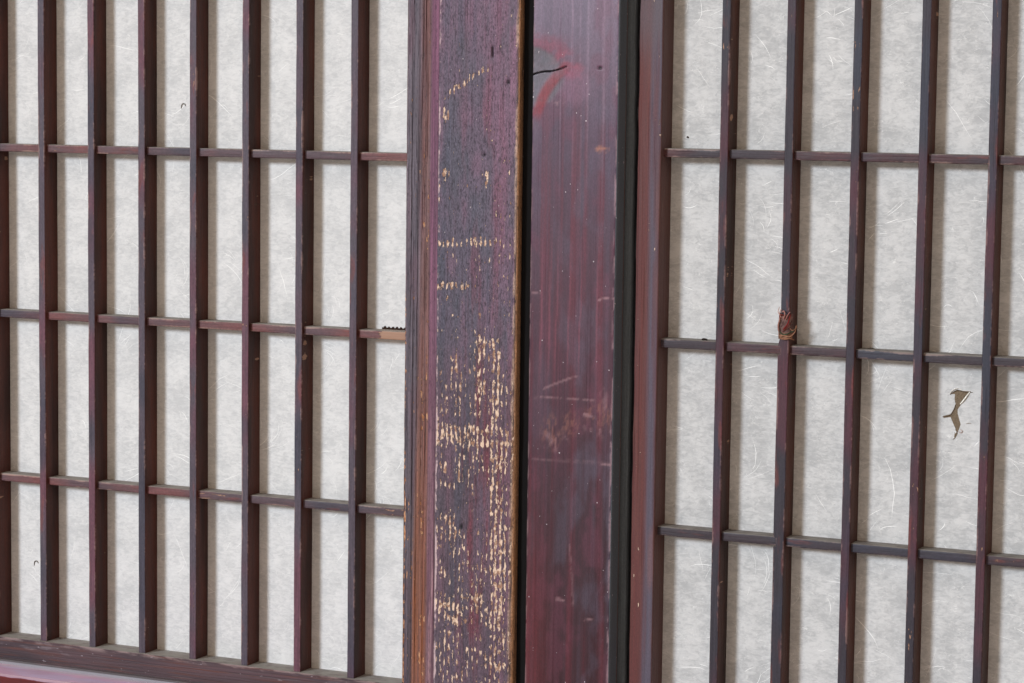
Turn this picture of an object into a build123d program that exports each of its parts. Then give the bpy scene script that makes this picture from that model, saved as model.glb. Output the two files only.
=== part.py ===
from build123d import *
import os

# A pair of paper sliding screens in their own wooden frame, with no wall.
# Millimetres. X runs along the sill, the front faces -Y and Z is up.
# The origin is on the floor, under the middle of the frame.
# "Left" and "right" are as seen from the front.

os.makedirs("parts", exist_ok=True)

# Lattice of one screen
bar_count = 12
row_count = 10
bar_pitch = 45.45
row_pitch = 129.0
bar_width = 6.0
bar_depth = 17.0
crossbar_height = 6.0
crossbar_recess = 3.5
end_gap = 40.8
right_row_rise = 8.0
bar_tenon_depth = 13.0
bar_tenon_length = 6.0
crossbar_tenon_depth = 9.5
crossbar_tenon_length = 6.0
mortice_end_room = 0.5

# Stiles, rails and paper of one screen
stile_width = 50.0
stile_thickness = 21.0
lattice_recess = 2.5
top_rail_height = 45.0
bottom_rail_height = 19.5
tongue_thickness = 15.0
bottom_tongue_height = 3.0
top_tongue_height = 8.0
rail_tenon_thickness = 7.0
rail_tenon_length = 26.0
top_rail_tenon_height = 24.0
bottom_rail_tenon_height = 9.0
paper_thickness = 0.3
paper_margin = 8.0
paper_edge_room = 0.5
stile_arris = 1.0

# Finger recess carved in both faces of each outer stile
recess_width = 20.0
recess_length = 72.0
recess_depth = 6.0
recess_height = 760.0

# Two uprights that stand in front of the grooves
upright_thickness = 14.0
worn_upright_width = 61.8
smooth_upright_width = 63.6
upright_gap = 9.5
lap_thickness = 6.0
lap_reach = 5.0
lap_clearance = 0.5
upright_arris = 1.5
stub_width = 36.0
stub_thickness = 7.0
stub_length = 10.0
left_tuck = 4.6
right_tuck = 25.2

# Frame
frame_depth = 90.0
front_margin = 6.0
sill_height = 45.0
head_height = 48.0
post_width = 90.0
sill_arris = 3.0
post_arris = 2.5
seat_depth = 5.0
seat_clearance = 0.5
sill_groove_depth = 3.3
head_groove_depth = 15.0
groove_clearance = 0.5
frame_tenon_thickness = 30.0
frame_tenon_length = 55.0
sill_tenon_height = 27.0
head_tenon_height = 24.0
pin_size = 9.0
pin_end_room = 0.5

# Clearances of the moving screens
upright_clearance = 2.5
screen_clearance = 3.0
running_gap = 0.3

# Heights, worked out from the sizes above
groove_floor = sill_height - sill_groove_depth
screen_bottom = groove_floor + running_gap
bottom_rail_top = screen_bottom + bottom_rail_height
lattice_height = row_count * row_pitch - crossbar_height
top_rail_bottom = bottom_rail_top + lattice_height
screen_top = top_rail_bottom + top_rail_height
screen_height = screen_top - screen_bottom
head_bottom = screen_top - top_tongue_height
frame_height = head_bottom + head_height
opening_height = head_bottom - sill_height

# Widths
lattice_width = (bar_count - 1) * bar_pitch + bar_width + 2 * end_gap
screen_width = lattice_width + 2 * stile_width
pair_width = worn_upright_width + upright_gap + smooth_upright_width
seat_width = 2 * (screen_width + running_gap) + pair_width - left_tuck - right_tuck
opening_width = seat_width - 2 * seat_depth
frame_width = opening_width + 2 * post_width
seat_left = -seat_width / 2
seat_right = seat_width / 2
opening_left = -opening_width / 2
opening_right = opening_width / 2
left_screen_x = seat_left + running_gap
right_screen_x = seat_right - running_gap - screen_width
worn_upright_x = left_screen_x + screen_width - left_tuck
smooth_upright_x = worn_upright_x + worn_upright_width + upright_gap

# Depths, from the front of the frame to the back
frame_front = -frame_depth / 2
upright_front = frame_front + front_margin
right_screen_y = upright_front + upright_thickness + upright_clearance
left_screen_y = right_screen_y + stile_thickness + screen_clearance
seat_front = right_screen_y - seat_clearance
seat_back = left_screen_y + stile_thickness + seat_clearance
rebate_depth = stile_thickness - lattice_recess - bar_depth
crossbar_depth = bar_depth - crossbar_recess
lap_joint_depth = crossbar_recess + crossbar_depth / 2
lift_room = head_groove_depth - top_tongue_height
slide_travel = seat_width - 2 * running_gap - screen_width


def bar_lefts(screen_x):
    """Left edge of each vertical bar of the screen whose left edge is at screen_x."""
    first = screen_x + stile_width + end_gap
    return [first + n * bar_pitch for n in range(bar_count)]


def crossbar_bottoms(row_rise):
    """Underside of each crossbar, counted up from the bottom rail."""
    first = bottom_rail_top + row_pitch - crossbar_height + row_rise
    return [first + n * row_pitch for n in range(row_count - 1)]


def make_bars(side, screen_x, screen_y, row_rise):
    """Vertical bars: full height at the front, notched from the back for each crossbar.
    The tenons have one shoulder, at the back."""
    front = screen_y + lattice_recess
    notch_depth = bar_depth - lap_joint_depth
    notches = [
        (front + lap_joint_depth + notch_depth / 2, bottom + crossbar_height / 2)
        for bottom in crossbar_bottoms(row_rise)
    ]
    for number, left in enumerate(bar_lefts(screen_x), start=1):
        with BuildPart() as bar:
            with BuildSketch(Plane.YZ.offset(left)):
                with Locations((front + bar_depth / 2, bottom_rail_top + lattice_height / 2)):
                    Rectangle(bar_depth, lattice_height)
                with Locations(*notches):
                    Rectangle(notch_depth, crossbar_height, mode=Mode.SUBTRACT)
            extrude(amount=bar_width)
            tenon_y = front + bar_tenon_depth / 2
            with Locations(
                (left + bar_width / 2, tenon_y, bottom_rail_top - bar_tenon_length / 2),
                (left + bar_width / 2, tenon_y, top_rail_bottom + bar_tenon_length / 2),
            ):
                Box(bar_width, bar_tenon_depth, bar_tenon_length)
        bar.part.label = f"{side}_bar_{number:02d}"
        export_step(bar.part, f"parts/{side}_bar_{number:02d}.step")


def make_crossbars(side, screen_x, screen_y, row_rise):
    """Crossbars: set back behind the bars' fronts, notched from the front for each bar.
    The tenons have one shoulder, at the back."""
    front = screen_y + lattice_recess + crossbar_recess
    notch_depth = lap_joint_depth - crossbar_recess
    left = screen_x + stile_width
    notches = [
        (bar_left + bar_width / 2, front + notch_depth / 2) for bar_left in bar_lefts(screen_x)
    ]
    for number, bottom in enumerate(crossbar_bottoms(row_rise), start=1):
        with BuildPart() as crossbar:
            with BuildSketch(Plane.XY.offset(bottom)):
                with Locations((left + lattice_width / 2, front + crossbar_depth / 2)):
                    Rectangle(lattice_width, crossbar_depth)
                with Locations(*notches):
                    Rectangle(bar_width, notch_depth, mode=Mode.SUBTRACT)
            extrude(amount=crossbar_height)
            tenon_y = front + crossbar_tenon_depth / 2
            tenon_z = bottom + crossbar_height / 2
            with Locations(
                (left - crossbar_tenon_length / 2, tenon_y, tenon_z),
                (left + lattice_width + crossbar_tenon_length / 2, tenon_y, tenon_z),
            ):
                Box(crossbar_tenon_length, crossbar_tenon_depth, crossbar_height)
        crossbar.part.label = f"{side}_crossbar_{number}"
        export_step(crossbar.part, f"parts/{side}_crossbar_{number}.step")


def make_rails(side, screen_x, screen_y):
    """Top and bottom rails: one section each, with a tongue, a paper rebate and bar mortices."""
    left = screen_x + stile_width
    middle_y = screen_y + stile_thickness / 2
    rebate_y = screen_y + stile_thickness - rebate_depth / 2
    mortice_y = screen_y + lattice_recess + bar_tenon_depth / 2
    mortice_length = bar_tenon_length + mortice_end_room
    mortice_xs = [bar_left + bar_width / 2 for bar_left in bar_lefts(screen_x)]
    tenon_xs = [left - rail_tenon_length / 2, left + lattice_width + rail_tenon_length / 2]

    with BuildPart() as bottom_rail:
        body_height = bottom_rail_height - bottom_tongue_height
        with BuildSketch(Plane.YZ.offset(left)):
            with Locations((middle_y, bottom_rail_top - body_height / 2)):
                Rectangle(stile_thickness, body_height)
            with Locations((middle_y, screen_bottom + bottom_tongue_height / 2)):
                Rectangle(tongue_thickness, bottom_tongue_height)
            with Locations((rebate_y, bottom_rail_top - paper_margin / 2)):
                Rectangle(rebate_depth, paper_margin, mode=Mode.SUBTRACT)
        extrude(amount=lattice_width)
        tenon_z = bottom_rail_top - body_height / 2
        with Locations(*[(x, middle_y, tenon_z) for x in tenon_xs]):
            Box(rail_tenon_length, rail_tenon_thickness, bottom_rail_tenon_height)
        with Locations(*[(x, mortice_y, bottom_rail_top - mortice_length / 2) for x in mortice_xs]):
            Box(bar_width, bar_tenon_depth, mortice_length, mode=Mode.SUBTRACT)
    bottom_rail.part.label = f"{side}_bottom_rail"
    export_step(bottom_rail.part, f"parts/{side}_bottom_rail.step")

    with BuildPart() as top_rail:
        body_height = top_rail_height - top_tongue_height
        with BuildSketch(Plane.YZ.offset(left)):
            with Locations((middle_y, top_rail_bottom + body_height / 2)):
                Rectangle(stile_thickness, body_height)
            with Locations((middle_y, screen_top - top_tongue_height / 2)):
                Rectangle(tongue_thickness, top_tongue_height)
            with Locations((rebate_y, top_rail_bottom + paper_margin / 2)):
                Rectangle(rebate_depth, paper_margin, mode=Mode.SUBTRACT)
        extrude(amount=lattice_width)
        tenon_z = top_rail_bottom + body_height / 2
        with Locations(*[(x, middle_y, tenon_z) for x in tenon_xs]):
            Box(rail_tenon_length, rail_tenon_thickness, top_rail_tenon_height)
        with Locations(*[(x, mortice_y, top_rail_bottom + mortice_length / 2) for x in mortice_xs]):
            Box(bar_width, bar_tenon_depth, mortice_length, mode=Mode.SUBTRACT)
    top_rail.part.label = f"{side}_top_rail"
    export_step(top_rail.part, f"parts/{side}_top_rail.step")


def make_stile(side, place, stile_x, inward, screen_y, row_rise):
    """A stile seen from the side, with tongues at its ends. inward is +1 where the lattice
    lies on its right and -1 where it lies on its left."""
    middle_x = stile_x + stile_width / 2
    middle_y = screen_y + stile_thickness / 2
    inner_x = middle_x + inward * stile_width / 2
    body_bottom = screen_bottom + bottom_tongue_height
    body_top = screen_top - top_tongue_height
    rebate_bottom = bottom_rail_top - paper_margin
    rebate_top = top_rail_bottom + paper_margin

    with BuildPart() as stile:
        with BuildSketch(Plane.YZ.offset(stile_x)):
            with Locations((middle_y, (body_bottom + body_top) / 2)):
                Rectangle(stile_thickness, body_top - body_bottom)
            with Locations((middle_y, (screen_bottom + screen_top) / 2)):
                Rectangle(tongue_thickness, screen_height)
        extrude(amount=stile_width)
        front_edges = stile.edges().filter_by(Axis.Z).group_by(Axis.Y)[0]
        fillet(front_edges, radius=stile_arris)

        with Locations((
            inner_x - inward * paper_margin / 2,
            screen_y + stile_thickness - rebate_depth / 2,
            (rebate_bottom + rebate_top) / 2,
        )):
            Box(paper_margin, rebate_depth, rebate_top - rebate_bottom, mode=Mode.SUBTRACT)

        rail_mortice = rail_tenon_length + mortice_end_room
        rail_x = inner_x - inward * rail_mortice / 2
        with Locations((rail_x, middle_y, (body_bottom + bottom_rail_top) / 2)):
            Box(rail_mortice, rail_tenon_thickness, bottom_rail_tenon_height, mode=Mode.SUBTRACT)
        with Locations((rail_x, middle_y, (top_rail_bottom + body_top) / 2)):
            Box(rail_mortice, rail_tenon_thickness, top_rail_tenon_height, mode=Mode.SUBTRACT)

        bar_mortice = crossbar_tenon_length + mortice_end_room
        bar_x = inner_x - inward * bar_mortice / 2
        bar_y = screen_y + lattice_recess + crossbar_recess + crossbar_tenon_depth / 2
        with Locations(*[
            (bar_x, bar_y, bottom + crossbar_height / 2) for bottom in crossbar_bottoms(row_rise)
        ]):
            Box(bar_mortice, crossbar_tenon_depth, crossbar_height, mode=Mode.SUBTRACT)

        if place == "outer":
            recess_x = middle_x + inward * seat_depth / 2
            front_recess_y = screen_y + recess_depth / 2
            back_recess_y = screen_y + stile_thickness - recess_depth / 2
            with Locations(
                (recess_x, front_recess_y, recess_height),
                (recess_x, back_recess_y, recess_height),
            ):
                Box(recess_width, recess_depth, recess_length, mode=Mode.SUBTRACT)
    stile.part.label = f"{side}_{place}_stile"
    export_step(stile.part, f"parts/{side}_{place}_stile.step")


def make_paper(side, screen_x, screen_y):
    """One sheet on the back of the lattice, its edges in the rebate of the frame."""
    spare = 2 * (paper_margin - paper_edge_room)
    middle_x = screen_x + screen_width / 2
    paper_y = screen_y + lattice_recess + bar_depth + paper_thickness / 2
    middle_z = (bottom_rail_top + top_rail_bottom) / 2
    with BuildPart() as paper:
        with Locations((middle_x, paper_y, middle_z)):
            Box(lattice_width + spare, paper_thickness, lattice_height + spare)
    paper.part.label = f"{side}_paper"
    export_step(paper.part, f"parts/{side}_paper.step")


def make_screen(side, screen_x, screen_y, row_rise):
    """All pieces of one screen. The outer stile is the one next to the post."""
    far_stile_x = screen_x + screen_width - stile_width
    left_place, right_place = ("outer", "inner") if side == "left" else ("inner", "outer")
    make_stile(side, left_place, screen_x, 1, screen_y, row_rise)
    make_stile(side, right_place, far_stile_x, -1, screen_y, row_rise)
    make_rails(side, screen_x, screen_y)
    make_bars(side, screen_x, screen_y, row_rise)
    make_crossbars(side, screen_x, screen_y, row_rise)
    make_paper(side, screen_x, screen_y)


make_screen("left", left_screen_x, left_screen_y, 0)
make_screen("right", right_screen_x, right_screen_y, right_row_rise)


# Sill and head: both take the screens' tongues in two grooves and the stubs of the uprights
groove_width = tongue_thickness + 2 * groove_clearance
groove_ys = [screen_y + stile_thickness / 2 for screen_y in (right_screen_y, left_screen_y)]
stub_y = upright_front + upright_thickness / 2
stub_xs = [
    worn_upright_x + worn_upright_width / 2,
    smooth_upright_x + smooth_upright_width / 2,
]
frame_tenon_xs = [
    opening_left - frame_tenon_length / 2,
    opening_right + frame_tenon_length / 2,
]
stub_mortice = stub_length + mortice_end_room

with BuildPart() as sill:
    with BuildSketch(Plane.YZ.offset(opening_left)) as sill_section:
        with Locations((0, sill_height / 2)):
            Rectangle(frame_depth, sill_height)
        front_corner = sill_section.vertices().group_by(Axis.Z)[-1].sort_by(Axis.Y)[0]
        fillet(front_corner, radius=sill_arris)
        with Locations(*[(y, sill_height - sill_groove_depth / 2) for y in groove_ys]):
            Rectangle(groove_width, sill_groove_depth, mode=Mode.SUBTRACT)
    extrude(amount=opening_width)
    sill_tenon_z = groove_floor / 2
    with Locations(*[(x, 0, sill_tenon_z) for x in frame_tenon_xs]):
        Box(frame_tenon_length, frame_tenon_thickness, sill_tenon_height)
    with Locations(*[(x, 0, sill_tenon_z) for x in frame_tenon_xs]):
        Box(pin_size, frame_tenon_thickness, pin_size, mode=Mode.SUBTRACT)
    with Locations(*[(x, stub_y, sill_height - stub_mortice / 2) for x in stub_xs]):
        Box(stub_width, stub_thickness, stub_mortice, mode=Mode.SUBTRACT)
sill.part.label = "sill"
export_step(sill.part, "parts/sill.step")

with BuildPart() as head:
    with BuildSketch(Plane.YZ.offset(opening_left)) as head_section:
        with Locations((0, head_bottom + head_height / 2)):
            Rectangle(frame_depth, head_height)
        front_corner = head_section.vertices().group_by(Axis.Z)[0].sort_by(Axis.Y)[0]
        fillet(front_corner, radius=sill_arris)
        with Locations(*[(y, head_bottom + head_groove_depth / 2) for y in groove_ys]):
            Rectangle(groove_width, head_groove_depth, mode=Mode.SUBTRACT)
    extrude(amount=opening_width)
    head_tenon_z = (head_bottom + head_groove_depth + frame_height) / 2
    with Locations(*[(x, 0, head_tenon_z) for x in frame_tenon_xs]):
        Box(frame_tenon_length, frame_tenon_thickness, head_tenon_height)
    with Locations(*[(x, 0, head_tenon_z) for x in frame_tenon_xs]):
        Box(pin_size, frame_tenon_thickness, pin_size, mode=Mode.SUBTRACT)
    with Locations(*[(x, stub_y, head_bottom + stub_mortice / 2) for x in stub_xs]):
        Box(stub_width, stub_thickness, stub_mortice, mode=Mode.SUBTRACT)
head.part.label = "head"
export_step(head.part, "parts/head.step")


# Posts: blind mortices for the sill and head, and a shallow seat for the closing stiles,
# with the grooves of the sill and head carried on into it
frame_mortice = frame_tenon_length + mortice_end_room
for side, inner_x, outward in (("left", opening_left, -1), ("right", opening_right, 1)):
    with BuildPart() as post:
        with BuildSketch(Plane.XY) as post_section:
            with Locations((inner_x + outward * post_width / 2, 0)):
                Rectangle(post_width, frame_depth)
            fillet(post_section.vertices().group_by(Axis.Y)[0], radius=post_arris)
        extrude(amount=frame_height)
        mortice_x = inner_x + outward * frame_mortice / 2
        with Locations((mortice_x, 0, sill_tenon_z)):
            Box(frame_mortice, frame_tenon_thickness, sill_tenon_height, mode=Mode.SUBTRACT)
        with Locations((mortice_x, 0, head_tenon_z)):
            Box(frame_mortice, frame_tenon_thickness, head_tenon_height, mode=Mode.SUBTRACT)
        with Locations((
            inner_x + outward * seat_depth / 2,
            (seat_front + seat_back) / 2,
            sill_height + opening_height / 2,
        )):
            Box(seat_depth, seat_back - seat_front, opening_height, mode=Mode.SUBTRACT)
        for groove_y in groove_ys:
            with Locations((
                inner_x + outward * seat_depth / 2,
                groove_y,
                (groove_floor + head_bottom + head_groove_depth) / 2,
            )):
                groove_span = head_bottom + head_groove_depth - groove_floor
                Box(seat_depth, groove_width, groove_span, mode=Mode.SUBTRACT)
        pin_x = inner_x + outward * frame_tenon_length / 2
        with Locations((pin_x, 0, sill_tenon_z), (pin_x, 0, head_tenon_z)):
            Box(pin_size, frame_depth, pin_size, mode=Mode.SUBTRACT)
    post.part.label = f"{side}_post"
    export_step(post.part, f"parts/{side}_post.step")


# Square pins that draw the four corner joints tight
with BuildPart() as corner_pins:
    with Locations(*[(x, 0, z) for x in frame_tenon_xs for z in (sill_tenon_z, head_tenon_z)]):
        Box(pin_size, frame_depth - 2 * pin_end_room, pin_size)
corner_pins.part.label = "corner_pins"
export_step(corner_pins.part, "parts/corner_pins.step")


# Uprights, lapped behind the gap between them and stub-tenoned into the sill and the head
upright_middle_z = sill_height + opening_height / 2
stub_zs = [sill_height - stub_length / 2, head_bottom + stub_length / 2]
lap_y = upright_front + upright_thickness - lap_thickness / 2
pocket_depth = lap_thickness + lap_clearance
pocket_reach = lap_reach + lap_clearance

with BuildPart() as worn_upright:
    with Locations((stub_xs[0], stub_y, upright_middle_z)):
        Box(worn_upright_width, upright_thickness, opening_height)
    fillet(worn_upright.edges().filter_by(Axis.Z).group_by(Axis.Y)[0], radius=upright_arris)
    with Locations((
        worn_upright_x + worn_upright_width - pocket_reach / 2,
        upright_front + upright_thickness - pocket_depth / 2,
        upright_middle_z,
    )):
        Box(pocket_reach, pocket_depth, opening_height, mode=Mode.SUBTRACT)
    with Locations(*[(stub_xs[0], stub_y, z) for z in stub_zs]):
        Box(stub_width, stub_thickness, stub_length)
worn_upright.part.label = "worn_upright"
export_step(worn_upright.part, "parts/worn_upright.step")

with BuildPart() as smooth_upright:
    with Locations((stub_xs[1], stub_y, upright_middle_z)):
        Box(smooth_upright_width, upright_thickness, opening_height)
    fillet(smooth_upright.edges().filter_by(Axis.Z).group_by(Axis.Y)[0], radius=upright_arris)
    lap_length = upright_gap + lap_reach
    with Locations((smooth_upright_x - lap_length / 2, lap_y, upright_middle_z)):
        Box(lap_length, lap_thickness, opening_height)
    with Locations(*[(stub_xs[1], stub_y, z) for z in stub_zs]):
        Box(stub_width, stub_thickness, stub_length)
smooth_upright.part.label = "smooth_upright"
export_step(smooth_upright.part, "parts/smooth_upright.step")


print(f"frame {frame_width:.2f} x {frame_depth:.2f} x {frame_height:.2f} mm")
print(f"screen {screen_width:.2f} x {stile_thickness:.2f} x {screen_height:.2f} mm")
print(f"slide travel {slide_travel:.2f} mm, lift {lift_room:.2f} mm")
print(f"recess centres: left {left_screen_x + stile_width / 2 + seat_depth / 2:.3f},",
      f"right {right_screen_x + screen_width - stile_width / 2 - seat_depth / 2:.3f} mm")
print(f"screen fronts: right {right_screen_y:.3f}, left {left_screen_y:.3f} mm")
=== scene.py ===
import math

import bmesh
import bpy
import numpy as np
from mathutils import Matrix, Vector


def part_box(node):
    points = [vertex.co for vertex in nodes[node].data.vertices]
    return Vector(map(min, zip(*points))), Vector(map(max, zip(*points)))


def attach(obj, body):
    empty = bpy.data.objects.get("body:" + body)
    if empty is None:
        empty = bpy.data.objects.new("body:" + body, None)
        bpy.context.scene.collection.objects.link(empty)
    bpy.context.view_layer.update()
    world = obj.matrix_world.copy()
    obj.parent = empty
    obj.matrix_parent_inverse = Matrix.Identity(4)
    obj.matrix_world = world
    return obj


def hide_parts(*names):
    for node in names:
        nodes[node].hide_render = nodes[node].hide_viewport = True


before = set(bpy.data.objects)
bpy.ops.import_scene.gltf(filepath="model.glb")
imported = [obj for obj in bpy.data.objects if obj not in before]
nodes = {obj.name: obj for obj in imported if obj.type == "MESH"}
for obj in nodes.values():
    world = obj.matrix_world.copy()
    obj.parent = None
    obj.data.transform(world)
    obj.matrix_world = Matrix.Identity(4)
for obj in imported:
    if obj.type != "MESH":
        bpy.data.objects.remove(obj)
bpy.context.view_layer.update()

# Looks of a pair of paper screens that slide in a lacquered wooden frame.
# Shapes are worked out in millimetres, as on the drawing, and put into the meshes in metres.
MM = 0.001
scene = bpy.context.scene
SCREENS = ("left", "right")
BARS = 12
CROSSBARS = 9

# The stretch of height and of width that the photograph shows
SEEN_LOW, SEEN_HIGH = 60.0, 565.0
SEEN_LEFT, SEEN_RIGHT = -480.0, 350.0

_extents = {}


def extent(node):
    """Lowest and highest corner of a CAD node, in millimetres."""
    if node not in _extents:
        low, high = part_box(node)
        _extents[node] = (np.array(low) / MM, np.array(high) / MM)
    return _extents[node]


# Numbers that vary smoothly

def ease(value, low, high):
    """0 below low, 1 above high, and 3t² - 2t³ between them."""
    t = np.clip((value - low) / (high - low), 0.0, 1.0)
    return t * t * (3 - 2 * t)


def soft_noise(u, v, seed):
    """Noise from 0 to 1: seeded random heights on the whole-number points of the (u, v) plane,
    joined along both axes by 3t² - 2t³."""
    table = np.random.default_rng(seed).random((97, 97))
    u, v = np.broadcast_arrays(np.asarray(u, float), np.asarray(v, float))
    i, j = np.floor(u).astype(int), np.floor(v).astype(int)
    s, t = u - i, v - j
    s, t = s * s * (3 - 2 * s), t * t * (3 - 2 * t)
    i0, i1, j0, j1 = i % 97, (i + 1) % 97, j % 97, (j + 1) % 97
    near = table[i0, j0] * (1 - s) + table[i1, j0] * s
    far = table[i0, j1] * (1 - s) + table[i1, j1] * s
    return near * (1 - t) + far * t


def layered_noise(u, v, seed, layers=4):
    """Noise from 0 to 1 in layers, each twice as fine and about half as strong as the last."""
    total, whole, weight = 0.0, 0.0, 1.0
    for layer in range(layers):
        total = total + weight * soft_noise(u * 2**layer, v * 2**layer, seed + layer)
        whole += weight
        weight *= 0.55
    return total / whole


def tone(red, green, blue):
    """A colour as seen on a screen, 0 to 255, turned into the linear colour that Blender mixes."""
    seen = np.array([red, green, blue]) / 255
    linear = np.where(seen <= 0.04045, seen / 12.92, ((seen + 0.055) / 1.055) ** 2.4)
    return (*(float(part) for part in linear), 1.0)


def over(paint, mask, colour):
    """paint with a colour laid over it: paint times (1 - mask) plus colour times mask."""
    mask = np.clip(mask, 0, 1)[..., None]
    return paint * (1 - mask) + np.array(tone(*colour)[:3]) * mask


def plain(colour, shape):
    """One colour for all places of an array of that shape."""
    return np.broadcast_to(np.array(tone(*colour)[:3]), (*shape, 3))


# Sections and the surfaces carried along a member

ARC_STEPS = 4                       # marks on a rounded corner, less one
NO_LIMITS = (-1e4, 1e4, -1e4, 1e4)  # limits that hold nothing back
FAR = 1e3                           # a distance at which an arris has no effect
NOTHING = 1e-9                      # keeps a division from failing
MERGED, COLLAPSED = 2e-6, 1e-6      # metres within which vertices are merged, edges dropped


def section(corners):
    """Marks round the section of a member, anticlockwise as seen from its far end.

    Each corner is (across, deep, rounded, steps to the next corner). A mark on a straight side
    lies at the two corners' weighted mean, a mark on a rounded corner at the corner plus the
    radius times (outward - first normal - second normal), so that one array of radii, a column
    for each corner, gives the section at every row.
    Returns the marks' places, their shift per radius, their outward directions and their
    distance to each corner."""
    points = np.array([corner[:2] for corner in corners], float)
    count = len(corners)
    gaps = np.roll(points, -1, 0) - points
    lengths = np.linalg.norm(gaps, axis=1)
    ways = gaps / np.maximum(lengths, NOTHING)[:, None]
    normals = np.stack([ways[:, 1], -ways[:, 0]], 1)
    place, shift, outward, distance = [], [], [], []
    for n, (_, _, rounded, steps) in enumerate(corners):
        following = (n + 1) % count
        first, second = normals[n - 1], normals[n]
        turns = np.linspace(0, math.pi / 2, ARC_STEPS + 1) if rounded else [math.pi / 4]
        for turn in turns:
            direction = first * math.cos(turn) + second * math.sin(turn)
            row = np.zeros((count, 2))
            if rounded:
                row[n] = direction - first - second
            near = np.full(count, FAR)
            near[n] = 0
            place.append(points[n])
            shift.append(row)
            outward.append(direction / max(np.linalg.norm(direction), NOTHING))
            distance.append(near)
        for step in range(1, steps):
            s = step / steps
            row = np.zeros((count, 2))
            row[n] = ways[n] * (1 - s) * rounded
            row[following] = -ways[n] * s * corners[following][2]
            near = np.full(count, FAR)
            near[n], near[following] = s * lengths[n], (1 - s) * lengths[n]
            place.append(points[n] + gaps[n] * s)
            shift.append(row)
            outward.append(second)
            distance.append(near)
    return tuple(np.array(part) for part in (place, shift, outward, distance))


def stretches(parts):
    """Rows along a member from (start, end, step, state) parts. Where two parts meet there are
    two rows at one place, so that a change of section there is a square shoulder."""
    places, states = [], []
    for start, end, step, state in parts:
        rows = max(2, int(round((end - start) / step)) + 1)
        places.append(np.linspace(start, end, rows))
        states += [state] * rows
    return np.concatenate(places), np.array(states)


def carry(marks, radii, places, limits, relief=0.0, sway=None, level=False):
    """A section carried along a member: mark + radii · shift - relief · outward, then held
    within limits (across low, across high, deep low, deep high), given for each row or for
    each mark of each row.
    An upright member has x across and z along it. A level one has -z across and x along it."""
    place, shift, outward, _ = marks
    flat = place[None] + np.einsum("rc,mcd->rmd", radii, shift)
    flat = flat - np.asarray(relief)[..., None] * outward[None]
    if sway is not None:
        flat = flat + sway[:, None, :]
    if limits.ndim == 2:
        limits = limits[:, None, :]
    flat[..., 0] = np.clip(flat[..., 0], limits[..., 0], limits[..., 1])
    flat[..., 1] = np.clip(flat[..., 1], limits[..., 2], limits[..., 3])
    along = np.broadcast_to(places[:, None], flat.shape[:2])
    if level:
        return np.stack([along, flat[..., 1], -flat[..., 0]], -1)
    return np.stack([flat[..., 0], flat[..., 1], along], -1)


def arris_wear(marks, strengths, reach):
    """How worn each mark is: the strongest of strength · exp(-distance / reach) of all corners."""
    distance = marks[3]
    fall = np.exp(-distance / reach)
    return np.max(strengths[:, None, :] * fall[None], axis=2)


def closed_tube(points):
    """Vertices and faces of a tube through rows of marks, closed by a face at each end."""
    rows, count = points.shape[:2]
    index = np.arange(rows * count).reshape(rows, count)
    beside = np.roll(index, -1, 1)
    quads = np.stack([index[:-1], beside[:-1], beside[1:], index[1:]], -1).reshape(-1, 4)
    ends = [index[0, ::-1].tolist(), index[-1].tolist()]
    return points.reshape(-1, 3), quads.tolist() + ends


def rubbed_radius(places, least, swing, reach, row, seed):
    """The radius of an arris along a member: least plus swing times layered noise, squared, so
    that a few places are rubbed much rounder than the rest."""
    return least + swing * layered_noise(places / reach, row, seed, 4) ** 2


def put_in_scene(name, data):
    """A new object at the origin, in the scene."""
    item = bpy.data.objects.new(name, data)
    scene.collection.objects.link(item)
    return item


def smooth(mesh, angle):
    """Smooth shading, except where faces meet at more than the angle, in degrees."""
    mesh.polygons.foreach_set("use_smooth", np.ones(len(mesh.polygons), bool))
    mesh.set_sharp_from_angle(angle=math.radians(angle))


def make_piece(name, vertices, faces, material, attributes=None, tidy=True):
    """A mesh object from vertices in millimetres, with its attributes. tidy merges vertices
    that lie on each other."""
    mesh = bpy.data.meshes.new(name)
    mesh.from_pydata(np.asarray(vertices) * MM, [], faces)
    for key, values in (attributes or {}).items():
        values = np.asarray(values, np.float32)
        if key == "paint":
            values = np.concatenate([values, np.ones((*values.shape[:-1], 1), np.float32)], -1)
            mesh.attributes.new(key, "FLOAT_COLOR", "POINT").data.foreach_set(
                "color", values.ravel())
        else:
            mesh.attributes.new(key, "FLOAT", "POINT").data.foreach_set("value", values.ravel())
    if tidy:
        work = bmesh.new()
        work.from_mesh(mesh)
        bmesh.ops.remove_doubles(work, verts=work.verts, dist=MERGED)
        bmesh.ops.dissolve_degenerate(work, edges=work.edges, dist=COLLAPSED)
        work.to_mesh(mesh)
        work.free()
    smooth(mesh, 38)
    mesh.materials.append(material)
    return put_in_scene(name, mesh)


# Shader nodes

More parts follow.
